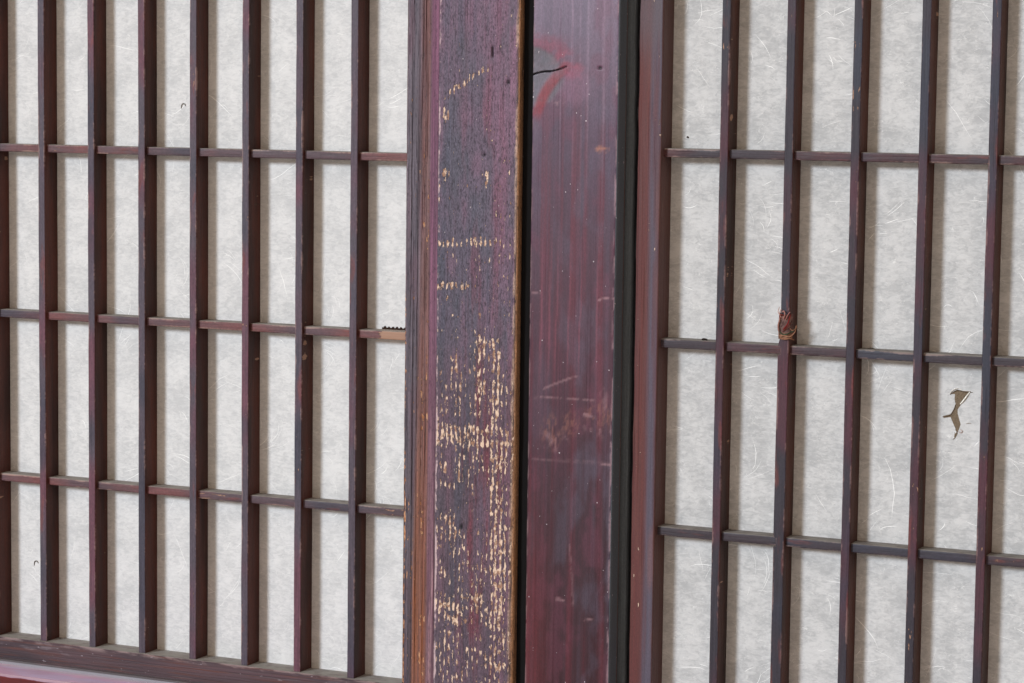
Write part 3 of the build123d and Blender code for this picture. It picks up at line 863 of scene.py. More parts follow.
class Board:
    """A board from the corners of its section and the radii of its two front arrises. It holds
    each mark's place, u across and v up, and the colour, relief and bareness given to it."""

    def __init__(self, corners, z, left_radius, right_radius):
        self.marks, self.z = section(corners), z
        self.radii = np.stack([left_radius, right_radius, *[np.zeros_like(z)] * 4], 1)
        self.place = self.marks[0][None] + np.einsum("rc,mcd->rmd", self.radii, self.marks[1])
        self.u = self.place[..., 0]
        self.v = np.broadcast_to(z[:, None], self.u.shape)
        self.front = self.faces(1, -1)
        self.paint, self.relief, self.bare = None, 0.0, np.zeros_like(self.u)

    def faces(self, axis, way):
        """Where the section looks along an axis: way is 1 or -1."""
        return np.broadcast_to((self.marks[2][:, axis] * way > 0.5)[None], self.u.shape)

    def noise(self, across, along, seed, layers=4, bend=0.0):
        return layered_noise(self.u / across + bend, self.v / along, seed, layers)

    def lay(self, mask, colour):
        self.paint = over(self.paint, mask, colour)

    def spot(self, *values):
        return spot(self.u, self.v, *values)

    def stroke(self, *values):
        return stroke(self.u, self.v, *values)

    def stubs(self, states, middle_x, front_y):
        """Limits that hold the two ends to the section of the stubs, 36 by 7 mm."""
        middle_y = front_y + 7.0
        limits = np.tile(NO_LIMITS, (len(self.z), 1))
        limits[states != "body"] = [middle_x - 18, middle_x + 18, middle_y - 3.5, middle_y + 3.5]
        return limits

    def done(self, name, wood, limits, least, slope, reach):
        """The piece. Its two front arrises are worn by least plus slope times their radius."""
        points = carry(self.marks, self.radii, self.z, limits, self.relief)
        strengths = np.concatenate([np.array(least) + np.array(slope) * self.radii[:, :2],
                                    self.radii[:, 2:]], 1)
        edge = arris_wear(self.marks, strengths, reach)
        vertices, faces = closed_tube(points)
        return make_piece(name, vertices, faces, wood,
                          {"edge": edge, "bare": self.bare, "paint": self.paint})


# Painted shade: the near black laid on the worn upright's side deep in the gap
GAP_SHADE = (16, 12, 11)
# Where the worn upright has lost its lacquer: start, end, width, sag and strength, in
# millimetres across and up, then the middles of round places and the dents
BARE_STROKES = (
    ((-52, 488), (-20, 509), 4.0, 1.5, 0.8), ((-53, 388), (-14, 390), 5.5, 0.8, 1.0),
    ((-57, 358), (-34, 359), 5.0, 0.5, 0.85), ((-43, 338), (-14, 320), 3.5, -2.0, 0.9),
    ((-42, 326), (-41.5, 268), 5.5, 0.0, 1.0), ((-37, 296), (-37, 270), 4.5, 0.0, 0.9),
    ((-22, 320), (-22, 270), 7.0, 0.0, 0.95), ((-11, 320), (-11, 270), 8.0, 0.0, 1.05),
    ((-54, 252), (-5, 254), 13.0, 0.8, 1.15), ((-12, 262), (-7, 108), 8.5, 1.0, 1.2),
    ((-5, 250), (-4, 150), 5.0, 0.0, 1.0), ((-42, 246), (-40, 232), 6.0, 0.0, 0.9),
    ((-48, 198), (-42, 186), 5.5, 0.0, 1.0), ((-58, 175), (-36, 177), 5.5, 1.0, 0.8),
    ((-54, 136), (-38, 126), 11.0, 0.0, 1.25), ((-25, 140), (-4, 116), 10.0, 0.0, 1.1),
    ((-15, 100), (-5, 94), 6.0, 0.0, 1.1), ((-18, 470), (-1, 432), 6.0, 0.0, 0.6))
BARE_SPOTS = ((-51, 477), (-51, 436), (-20, 434), (-50, 157), (-49, 231), (-38, 226))
DENTS = (((-4, 499.7), (1.8, 1.6)), ((-21.5, 449.7), (1.6, 1.8)), ((-16.3, 520), (1.0, 6.0)),
         ((-36, 190), (1.4, 3.0)))


def lost_lacquer(board):
    """How bare each place of the worn upright's front is, and how low down it lies."""
    v = board.v
    lower = 1 - ease(v, 270, 350)
    uneven = ease(board.noise(7.0, 16.0, 41, 3), 0.25, 0.65)
    bare = 0.1 + 0.55 * lower * uneven + 0.4 * ease(v, 700, 1000) * uneven
    bare = bare + 0.3 * (1 - ease(v, 380, 470)) * (1 - lower) * uneven
    for start, end, width, sag, strength in BARE_STROKES:
        bare = np.maximum(bare, strength * board.stroke(start, end, width, sag)
                          * (0.6 + 0.4 * uneven))
    for centre in BARE_SPOTS:
        bare = np.maximum(bare, 0.95 * board.spot(centre, (4.5, 7.5)))
    return np.where(board.front, np.minimum(bare, 0.95), 0.0), lower


def paint_worn_front(board, lower):
    """Grey blue lacquer with mauve, slate and crimson clouds, browner low down."""
    u, v = board.u, board.v
    board.paint = plain((74, 75, 88), u.shape)
    side_mix = ease(u + 14 * (board.noise(7.0, 120.0, 43, 3) - 0.5), -30, -2)
    board.lay(0.25 + 0.5 * side_mix + 0.35 * ease(v, 360, 560), (114, 86, 104))
    blotch = board.noise(9.0, 34.0, 44)
    board.lay(0.45 * ease(blotch, 0.5, 0.72), (70, 76, 86))
    board.lay(0.3 * (1 - ease(blotch, 0.3, 0.45)), (128, 92, 112))
    crimson = ease(board.noise(4.0, 60.0, 45), 0.5, 0.72)
    crimson = crimson * (board.spot((-22, 300), (26, 330)) + 0.25)
    board.lay(0.6 * crimson * (0.4 + 0.6 * lower), (112, 44, 58))
    board.lay(0.3 * lower, (84, 47, 47))
    board.lay(0.4 * ease(board.noise(3.4, 90.0, 47, 3), 0.55, 0.75), (62, 66, 80))


def paint_rubbed_side(board, x1, y0):
    """The worn upright's right arris, chafed to a strip of brown with a pale line, and the side
    behind it: bare wood near the arris and painted shade, near black, deeper in the gap."""
    u, v = board.u, board.v
    wide = 1 - ease(v, 120, 520)
    into = u - (x1 - 1.6 - 1.2 * wide)
    strip = 0.9 * ease(into + 1.2 * (board.noise(1.0, 16.0, 46, 3) - 0.5), -0.4, 0.5)[..., None]
    chafed = over(plain((118, 84, 62), u.shape), ease(board.noise(1.2, 34.0, 48, 3), 0.4, 0.65),
                  (66, 50, 44))
    chafed = over(chafed, 0.7 * ease(board.noise(0.9, 42.0, 50, 3), 0.6, 0.75), (158, 106, 66))
    board.paint = board.paint * (1 - strip) + chafed * strip
    line = stroke(into, np.zeros_like(u), (-0.1, 0), (0.1, 0), 0.9)
    board.lay(0.75 * line * ease(board.noise(9.0, 13.0, 52, 3), 0.3, 0.55), (186, 156, 138))
    side, depth = board.faces(0, 1), board.place[..., 1] - y0
    rubbed = 1 - ease(depth + 2.5 * (layered_noise(depth, v / 12.0, 54, 3) - 0.5),
                      4.6 + 1.5 * wide, 7.8 + 2.0 * wide)
    # Deeper in the gap the side gets painted shade, near black; nearer the arris it is bare wood
    board.lay(side * (1 - rubbed), GAP_SHADE)
    whole = ease(layered_noise(depth / 2.5, v / 24.0, 111, 4), 0.3, 0.55)
    board.lay(side * rubbed * (0.45 + 0.4 * whole), (184, 138, 104))


def worn_upright_board():
    """The upright whose lacquer has gone in specks: chipped arrises, many fine pits, and a side
    of bare wood towards the gap."""
    low, high = extent("worn_upright")
    x0, x1, y0, y1 = low[0], high[0], low[1], high[1]
    z, states = board_rows(low[2], high[2], 1.5, 5.0)
    low_down = 1 - ease(z, 150, 420)
    board = Board(
        [(x0, y0, 1, 46), (x1, y0, 1, 5), (x1, y1 - 6.5, 0, 4), (x1 - 5.5, y1 - 6.5, 0, 3),
         (x1 - 5.5, y1, 0, 6), (x0, y1, 0, 6)], z,
        rubbed_radius(z, 1.1, 1.6, 9.0, 1.7, 31)
        + 1.2 * low_down * layered_noise(z / 22.0, 5.1, 32, 4) ** 2,
        rubbed_radius(z, 1.2, 2.2, 11.0, 8.2, 33)
        + 3.4 * low_down * layered_noise(z / 26.0, 2.9, 34, 4))
    board.bare, lower = lost_lacquer(board)
    paint_worn_front(board, lower)
    paint_rubbed_side(board, x1, y0)
    board.lay(board.faces(1, 1), (84, 62, 56))
    relief = 0.22 * board.noise(1.7, 60.0, 51, 3)
    relief = relief + 0.35 * np.clip(board.bare - 0.45, 0, 1) * board.noise(2.0, 6.0, 53, 3)
    for centre, size in DENTS:
        dent = board.spot(centre, size)
        relief = relief + 1.5 * dent
        board.lay(dent * board.front, (28, 22, 24))
    board.relief = np.where(board.front, relief, 0.05)
    limits = board.stubs(states, (x0 + x1) / 2, y0)
    return board.done("worn_upright_board", worn_upright_wood, limits, (0.7, 0.25), (0.3, 0.1),
                      0.8)


# Colours of the smooth upright by height
SMOOTH_TONES = (
    (40, (47, 17, 23)), (110, (51, 19, 27)), (200, (52, 27, 36)), (300, (71, 38, 51)),
    (380, (71, 44, 57)), (460, (79, 58, 75)), (560, (118, 101, 119)), (700, (110, 90, 106)),
    (900, (84, 54, 64)), (1150, (70, 38, 44)), (1390, (78, 50, 56)))
# Pale lines high up (distance from the left arris, width) and red lines lower down (top, end)
PALE_LINES = ((41.0, 0.9), (52.6, 0.9), (30.0, 0.7), (21.0, 0.7), (36.0, 0.6))
RED_LINES = ((24.5, 22.5), (31.0, 28.5), (36.5, 33.5), (46.0, 42.5), (54.0, 51.0), (65.5, 64.0))
# Scratches (start, end, width, strength), pale scuffs (centre, size, strength) and warm ones
SCRATCHES = (
    ((17, 356.5), (23, 356), 1.1, 0.6), ((66, 354), (77, 355.5), 1.1, 0.9),
    ((26, 291), (50, 301), 1.1, 0.55), ((19, 284.5), (63, 285.5), 1.0, 0.5),
    ((17, 242), (78, 242.5), 1.0, 0.3), ((70, 242), (78, 242), 1.1, 0.7),
    ((56, 275), (65, 273.5), 1.3, 0.8), ((47, 184), (50, 142), 1.1, 0.3),
    ((38, 146), (43, 145), 1.3, 0.6), ((59, 133), (64, 134), 1.3, 0.6),
    ((24, 620), (70, 628), 1.1, 0.5), ((30, 742), (52, 735), 1.2, 0.6),
    ((20, 905), (44, 909), 1.1, 0.6), ((50, 1048), (74, 1040), 1.2, 0.6))
SCUFFS = (((35, 487), (8, 4), 0.5), ((70, 272), (10, 15), 0.5), ((62, 268), (9, 7), 0.35),
          ((35, 257), (13, 12), 0.45), ((70, 287), (5, 9), 0.35))
WARM_SCUFFS = (((69, 276), (15, 12)), ((32, 261), (10, 16)), ((46, 268), (9, 11)))
PIN_HOLE = (64, 509.7)


def lacquer_bands(board, x0):
    """Long bands, clouds and lines of the smooth upright's lacquer."""
    u, v = board.u, board.v
    drift = 60 * (board.noise(16.0, 260.0, 63, 3) - 0.5)
    board.paint = blend_by_height(v + drift, SMOOTH_TONES)
    board.lay(0.5 * ease(board.noise(4.2, 420.0, 65, 3), 0.5, 0.7) * (1 - ease(v, 420, 540)),
              (98, 34, 46))
    board.lay(0.28 * ease(board.noise(3.4, 380.0, 67, 3), 0.52, 0.72), (76, 66, 82))
    cloudy = board.noise(13.0, 30.0, 68)
    board.lay(0.24 * ease(cloudy, 0.5, 0.7) * (0.4 + 0.6 * ease(u, x0 + 8, x0 + 40)),
              (92, 90, 108))
    board.lay(0.3 * (1 - ease(cloudy, 0.3, 0.45)), (104, 52, 70))
    board.lay(0.4 * ease(board.noise(1.5, 200.0, 69, 3), 0.5, 0.75) * (1 - ease(v, 240, 420)),
              (52, 26, 34))
    board.lay(0.4 * (1 - ease(u, x0 + 6, x0 + 26)) * (1 - ease(v, 120, 260)), (98, 30, 34))
    for at, width in PALE_LINES:
        line = 1 - ease(abs(u - (x0 + at) - 0.5 * np.sin(v / 31.0)), width * 0.3, width)
        line = line * ease(v, 400, 520) * (1 - ease(v, 640, 760))
        board.lay(0.3 * line * (0.4 + 0.6 * board.noise(1.0, 14.0, 71)), (184, 156, 178))


def half_knot(board, x0):
    """Half a knot at the left arris: a grey face with faint rings, a blush, a red rim and a
    crack. Returns the relief."""
    u, v = board.u, board.v
    du, dv = (u - (x0 - 0.5)) / 25.0, (v - 503.5) / 21.0
    ring_at = np.hypot(du, dv) + 0.12 * (board.noise(8.0, 8.0, 73, 3) - 0.5)
    inside = 1 - ease(ring_at, 0.84, 1.02)
    flush = ease(board.noise(6.0, 5.0, 74), 0.25, 0.65)
    round_rim = (1 - ease(ring_at, 1.15, 1.75)) * ease(dv + 0.35 * du, 0.05, 0.6)
    board.lay(0.6 * round_rim * flush, (126, 58, 76))
    board.lay(0.4 * board.spot((x0 + 27, 512), (17, 9), -30) * flush, (144, 72, 90))
    board.lay(0.3 * board.spot((x0 + 31, 497), (15, 17)), (142, 98, 122))
    board.lay(0.72 * inside, (98, 97, 105))
    rings = 0.5 + 0.5 * np.sin(ring_at * 26 + 4 * board.noise(5.0, 5.0, 75))
    board.lay(0.14 * inside * rings, (76, 68, 78))
    board.lay(0.45 * inside * ease(dv, 0.1, 0.6) * (1 - ease(du, 0.2, 0.7)), (70, 72, 78))
    board.lay(0.3 * inside * ease(board.noise(7.0, 5.0, 89), 0.5, 0.7), (118, 106, 124))
    fall = np.clip((511 - v) / 36.0, 0, 1)
    rim = board.stroke((x0 + 24.5, 510), (x0 + 4.0, 478), 5.4, -3.2)
    rim = rim * (0.5 + 0.5 * ease(fall, 0.0, 0.4)) * (1 - 0.6 * ease(fall, 0.86, 1.0))
    rim = rim * (0.65 + 0.5 * board.noise(3.0, 4.0, 76, 3))
    board.lay(0.8 * np.clip(rim, 0, 1), (128, 36, 46))
    bend = (x0 + 13.0, 507.2)
    crack = board.stroke((x0 - 0.5, 504.6), bend, 0.75, 0.7)
    crack = crack + board.stroke(bend, (x0 + 25.0, 510.6), 0.6, -0.5)
    board.lay(1.1 * np.clip(crack, 0, 1), (20, 15, 18))
    relief = 0.07 * board.noise(3.0, 90.0, 79, 3)
    relief = relief + 1.4 * np.clip(crack, 0, 1) - 0.18 * rim + 0.12 * inside
    return relief + 0.03 * inside * rings


def scratched(board):
    """Scratches, scuffs and thin lines of the smooth upright. Returns how scuffed each mark
    is."""
    front, scuffed = board.front, np.zeros_like(board.u)
    broken = ease(board.noise(3.0, 3.0, 77, 3), 0.3, 0.6)
    for start, end, width, strength in SCRATCHES:
        mark = board.stroke(start, end, width, 0.3)
        scuffed = np.maximum(scuffed, strength * mark * broken)
    rubbed = ease(board.noise(2.2, 5.0, 78), 0.48, 0.72)
    for centre, size, strength in SCUFFS:
        scuffed = np.maximum(scuffed, strength * board.spot(centre, size) * rubbed)
    board.lay(0.6 * scuffed, (170, 132, 138))
    board.lay(board.spot(PIN_HOLE, (1.5, 1.5)) * front, (36, 26, 32))
    for top_end, low_end in RED_LINES:
        drawn = board.stroke((top_end, 430), (low_end, 278), 0.9)
        drawn = drawn * ease(board.v, 284, 330) * (1 - ease(board.v, 340, 424))
        board.lay(0.36 * drawn * front, (140, 74, 88))
    warm = ease(board.noise(1.1, 4.2, 110), 0.4, 0.66)
    for centre, size in WARM_SCUFFS:
        board.lay(0.42 * board.spot(centre, size) * warm * front, (134, 88, 78))
    patch = ease(board.noise(5.0, 1.2, 80, 3), 0.35, 0.6)
    board.lay(0.7 * board.spot((66.6, 455.5), (6.5, 3.4)) * patch * front, (168, 112, 92))
    return scuffed


def smooth_upright_board():
    """The upright that kept its lacquer: long bands of red and lilac, scratches, and half a knot
    at its left arris, with a crack and a raised red rim."""
    low, high = extent("smooth_upright")
    x0, x1, y0, y1 = low[0] + LAP, high[0], low[1], high[1]
    z, states = board_rows(low[2], high[2], 1.4, 6.0)
    round_knot = (z > KNOT_LOW) & (z < KNOT_HIGH)
    at = int(np.argmax(round_knot))
    fine = np.linspace(KNOT_LOW, KNOT_HIGH, KNOT_ROWS)
    z = np.insert(z[~round_knot], at, fine)
    states = np.insert(states[~round_knot], at, np.full(len(fine), "body"))
    board = Board(
        [(x0, y0, 1, 52), (x1, y0, 1, 6), (x1, y1, 0, 8), (x0 - LAP, y1, 0, 2),
         (x0 - LAP, y1 - 6, 0, 4), (x0, y1 - 6, 0, 3)], z,
        rubbed_radius(z, 1.0, 0.9, 14.0, 1.1, 61), rubbed_radius(z, 1.1, 1.3, 16.0, 4.4, 62))
    u, front = board.u, board.front
    lacquer_bands(board, x0)
    relief = half_knot(board, x0)
    scuffed = scratched(board)
    # Painted highlight: pale lines along both front arrises
    board.lay(0.5 * ease(u, x1 - 1.9, x1 - 0.9) * front
              * ease(board.noise(1.0, 9.0, 86), 0.4, 0.6), (190, 158, 166))
    board.lay(0.45 * (1 - ease(u, x0 + 0.7, x0 + 1.5)) * front
              * ease(board.noise(1.0, 8.0, 99), 0.45, 0.62), (158, 128, 130))
    board.lay(board.faces(0, 1), (88, 97, 106))
    board.lay(board.faces(1, 1), (98, 70, 66))
    # Painted shade, near black: the lap tongue's front, deep behind the front face, and the left
    # side, which faces the gap
    board.lay((board.place[..., 1] > y0 + 4) * front, (14, 10, 10))
    board.lay(board.faces(0, -1) * 0.97, (14, 10, 10))
    relief = relief + 0.1 * scuffed + 0.8 * board.spot(PIN_HOLE, (1.7, 1.7))
    board.relief = np.where(front, np.maximum(relief, 0.0), 0.0)
    limits = board.stubs(states, (x0 + x1) / 2, y0)
    return board.done("smooth_upright_board", smooth_upright_wood, limits, 0.35, 0.3, 0.8)


def weathered_front(board, x0, bend):
    """The left inner stile, weathered to ridges along its grain: grey, with a brown stretch that
    widens low down and a mauve band beside it."""
    u, v = board.u, board.v
    low_down = 1 - ease(v, 60, 420)
    board.paint = plain((106, 97, 106), u.shape)
    board.lay(ease(board.noise(0.95, 60.0, 83, 3, bend), 0.48, 0.72) * 0.6, (50, 47, 56))
    board.lay(0.4 * ease(board.noise(5.0, 45.0, 87, 3), 0.45, 0.7), (112, 84, 96))
    board.lay(0.26 * low_down * ease(u, -101, -93), (100, 62, 46))
    board.lay(0.3 * low_down * (1 - ease(u, -96, -91)), (66, 52, 54))
    left_rim = -88.5 - 4.5 * low_down
    orange = ease(u, left_rim - 3.5, left_rim) * (1 - ease(u, -84.5, -82))
    orange = orange + 0.8 * ease(u, -70, -64)
    orange = orange * (0.3 + 0.7 * low_down) * (0.25 + 0.95 * board.noise(1.2, 50.0, 84, 3, bend))
    board.lay(0.95 * orange, (160, 98, 62))
    board.lay(0.3 * ease(u, -95, -89), (112, 68, 62))
    band = ease(u, -84, -82) * (1 - ease(u, -78, -75))
    board.lay((0.75 - 0.35 * low_down) * band, (124, 78, 104))
    fine = ease(board.noise(0.7, 70.0, 89, 3, bend), 0.45, 0.62)
    board.lay(0.5 * low_down * band * fine, (166, 132, 132))
    board.lay(0.4 * low_down * band * (1 - fine), (84, 58, 62))
    board.relief = 0.9 * ease(board.noise(1.05, 120.0, 85, 2, bend), 0.35, 0.75) * (1 - 0.7 * band)
    flecked = ease(board.noise(8.0, 16.0, 88, 3), 0.45, 0.72)
    board.bare = flecked * (0.3 + 0.45 * ease(u, -92, -88)) * (1 - band)
    board.bare = board.bare + 0.5 * (1 - ease(u, x0 + 0.5, x0 + 3.5)) * (1 - ease(v, 330, 480))
    board.bare = board.bare + 0.34 * low_down * (1 - ease(u, -94, -91))


def smooth_front(board, bend):
    """The right inner stile: red brown, greyer at its right, with a groove painted near black as
    shade, and a set back strip at its left."""
    u, v = board.u, board.v
    board.paint = plain((94, 49, 46), u.shape)
    board.lay(ease(u + 3 * (board.noise(5.0, 90.0, 92, 3) - 0.5), 92.5, 97.5), (84, 75, 88))
    board.lay(0.5 * ease(board.noise(2.4, 130.0, 94, 3, bend), 0.5, 0.7), (88, 44, 44))
    board.lay(0.35 * ease(board.noise(6.0, 60.0, 97), 0.5, 0.75), (122, 78, 70))
    board.lay(0.6 * ease(v, 505, 545) * (1 - ease(v, 800, 1000)), (92, 82, 88))
    behind = 1 - ease(u, 84.6, 85.2)
    groove = behind * ease(u, 82.4, 83.0)
    board.lay(behind, (92, 98, 104))
    # Painted shade: the deep groove is near black
    board.lay(0.97 * groove, (18, 14, 15))
    board.relief = 0.14 * board.noise(2.2, 120.0, 95, 3, bend) + 1.2 * behind + 3.2 * groove
    board.bare = 0.42 * ease(board.noise(6.0, 14.0, 98, 3), 0.6, 0.75) * (1 - behind)


FOOT, CROWN = 3.05, 8.05         # length of the inner stiles' tongues in sill and head
HALF_TONGUE = 7.5                # half of their thickness
REBATE, REBATE_DEPTH = 8.0, 1.5  # the step for the edge of the paper
TOUCH = 1e-6                     # places closer than this are the same


def inner_stile_board(side):
    """The stile next to the middle. The left one has weathered to ridges along its grain, the
    right one is smooth. A step in the back takes the edge of the paper."""
    low, high = extent(f"{side}_inner_stile")
    x0, x1, y0, y1 = low[0], high[0], low[1], high[1]
    bottom, top = rail_faces(side)
    ridged = side == "left"
    edge_x = x0 + REBATE if ridged else x1 - REBATE
    z, states = stretches([
        (low[2], low[2] + FOOT, JOINT_STEP, "foot"),
        (low[2] + FOOT, bottom - REBATE, 4.0, "full"),
        (bottom - REBATE, SEEN_HIGH, 3.0 if ridged else 3.5, "step"),
        (SEEN_HIGH, top + REBATE, 8.0, "step"), (top + REBATE, high[2] - CROWN, 8.0, "full"),
        (high[2] - CROWN, high[2], JOINT_STEP, "crown")])
    seed = 81 if ridged else 91
    board = Board(
        [(x0, y0, 1, 78 if ridged else 34), (x1, y0, 1, 6), (x1, y1, 0, 3), (edge_x, y1, 0, 1),
         (edge_x, y1, 0, 3), (x0, y1, 0, 6)], z,
        rubbed_radius(z, 0.9, 1.2, 15.0, 1.1, seed),
        rubbed_radius(z, 0.9, 1.2, 15.0, 6.4, seed + 1))
    marks = board.marks
    bend = 1.6 * board.noise(30.0, 170.0, seed + 2, 2)
    if ridged:
        weathered_front(board, x0, bend)
    else:
        smooth_front(board, bend)
    board.lay((abs(marks[2][None, :, 0]) > 0.5) * (0.9 - 0.2 * board.noise(1.0, 50.0, 96)),
              (84, 52, 44))
    board.lay(board.faces(1, 1), (92, 66, 60))
    board.relief = np.where(board.front, board.relief, 0.0)
    board.bare = np.where(board.front, board.bare, 0.0)
    limits = np.broadcast_to(np.array(NO_LIMITS), (*board.u.shape, 4)).copy()
    middle_y = (y0 + y1) / 2
    limits[(states == "foot") | (states == "crown"), :, 2:] = (middle_y - HALF_TONGUE,
                                                               middle_y + HALF_TONGUE)
    across = marks[0][:, 0]
    rebated = across <= edge_x + TOUCH if ridged else across >= edge_x - TOUCH
    corner = np.flatnonzero(abs(across - edge_x) < TOUCH)
    rebated[corner[0] if ridged else corner[-1]] = False
    rebated &= marks[0][:, 1] > y1 - TOUCH
    limits[(states == "step")[:, None] & rebated[None], 3] = y1 - REBATE_DEPTH
    return board.done(f"{side}_inner_stile_board",
                      weathered_stile_wood if ridged else inner_stile_wood, limits, 0.4, 0.4, 1.2)


for side in SCREENS:
    piece = inner_stile_board(side)
    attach(piece, f"{side}_screen")
    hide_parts(f"{side}_inner_stile")

piece = worn_upright_board()
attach(piece, "frame")
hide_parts("worn_upright")

piece = smooth_upright_board()
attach(piece, "frame")
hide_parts("smooth_upright")


# Rails, outer stiles, frame and pins: the CAD shapes with softened arrises

LOOSE = 1e-5                                        # metres between vertices to merge
FLAT, CONVEX = math.radians(1), math.radians(35)    # faces joined below, arrises above


def softened(node, name, material, width):
    """A copy of a CAD node, its loose triangles merged and flat faces joined, with its outer
    arrises rounded by a Bevel modifier. Inner corners stay square, so that nothing grows into
    a seat or a groove."""
    mesh = nodes[node].data.copy()
    mesh.materials.clear()
    work = bmesh.new()
    work.from_mesh(mesh)
    bmesh.ops.remove_doubles(work, verts=work.verts, dist=LOOSE)
    bmesh.ops.dissolve_limit(work, angle_limit=FLAT, verts=work.verts, edges=work.edges)
    weight = work.edges.layers.float.new("bevel_weight_edge")
    for edge in work.edges:
        if edge.is_convex and edge.calc_face_angle(0.0) > CONVEX:
            edge[weight] = 1.0
    work.to_mesh(mesh)
    work.free()
    mesh.name = name
    mesh.materials.append(material)
    smooth(mesh, 40)
    piece = put_in_scene(name, mesh)
    bevel = piece.modifiers.new("rubbed_arrises", "BEVEL")
    bevel.width = width * MM
    bevel.segments = 3
    bevel.limit_method = "WEIGHT"
    bevel.harden_normals = False
    return piece


soft_boards = [
    ("sill", "sill_board", sill_lacquer, 0.6, "frame", "red_lacquer"),
    ("head", "head_board", sill_lacquer, 0.6, "frame", "red_lacquer"),
    ("left_post", "left_post_board", post_lacquer, 0.6, "frame", "red_lacquer"),
    ("right_post", "right_post_board", post_lacquer, 0.6, "frame", "red_lacquer"),
    ("corner_pins", "corner_pin_ends", pin_wood, 0.5, "frame", "bare_wood")]
for member, material, width in (("outer_stile", outer_stile_wood, 0.5),
                                ("bottom_rail", rail_wood, 0.7), ("top_rail", rail_wood, 0.7)):
    soft_boards += [(f"{side}_{member}", f"{side}_{member}_board", material, width,
                     f"{side}_screen", "dark_lacquer") for side in SCREENS]

for node, name, material, width, body, finish in soft_boards:
    piece = softened(node, name, material, width)
    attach(piece, body)
    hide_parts(node)


# Paper and its fibres

BULGE = 0.3         # about how far the paper stands back at most
RIM_FADE = 30.0     # the stretch inside the sheet's rim in which the bulge sets in
FIBRE_STAND = 0.05  # how far the fibres stand out of the paper
BUNCH = 4           # fibres drawn together


def paper_bulge(side, x, z):
    """How far the paper stands back from the bars between them: BULGE times the square root of
    the product of two half waves, one across each gap and one up each row, times a slow noise
    plus 0.3, less towards the sheet's rim."""
    low, high = extent(f"{side}_paper")
    bar_low, bar_high = extent(f"{side}_bar_01")
    pitch = extent(f"{side}_bar_02")[0][0] - bar_low[0]
    crossbar_z = extent(f"{side}_crossbar_1")[0][2]
    row = extent(f"{side}_crossbar_2")[0][2] - crossbar_z
    across = abs(np.sin(math.pi * (x - (bar_low[0] + bar_high[0]) / 2) / pitch))
    up = abs(np.sin(math.pi * (z - crossbar_z - 3) / row))
    slow = layered_noise(x / 40.0, z / 60.0, 201 if side == "left" else 207, 3)
    from_side = np.minimum(x - low[0], high[0] - x)
    from_end = np.minimum(z - low[2], high[2] - z)
    return (BULGE * np.sqrt(across * up) * (0.3 + slow) * ease(from_side, 0, RIM_FADE)
            * ease(from_end, 0, RIM_FADE))


def paper_sheet(side):
    """The sheet on the back of the lattice: a front and a back grid 0.3 mm apart, closed round
    their rim, standing back a little between the bars."""
    low, high = extent(f"{side}_paper")
    x, z = np.meshgrid(np.linspace(low[0], high[0], 134), np.linspace(low[2], high[2], 200))
    bulge = paper_bulge(side, x, z)
    front = np.stack([x, low[1] + bulge, z], -1)
    back = np.stack([x, high[1] + bulge, z], -1)
    total = x.size
    index = np.arange(total).reshape(x.shape)
    faces = np.stack([index[:-1, :-1], index[:-1, 1:], index[1:, 1:], index[1:, :-1]], -1)
    faces = faces.reshape(-1, 4)
    rim = np.concatenate([index[0, :], index[1:, -1], index[-1, -2::-1], index[-2:0:-1, 0]])
    following = np.roll(rim, -1)
    walls = np.stack([rim, rim + total, following + total, following], -1)
    faces = np.concatenate([faces, faces[:, ::-1] + total, walls])
    vertices = np.concatenate([front.reshape(-1, 3), back.reshape(-1, 3)])
    return make_piece(f"{side}_paper_sheet", vertices, faces.tolist(),
                      paper_pulp[side], tidy=False)


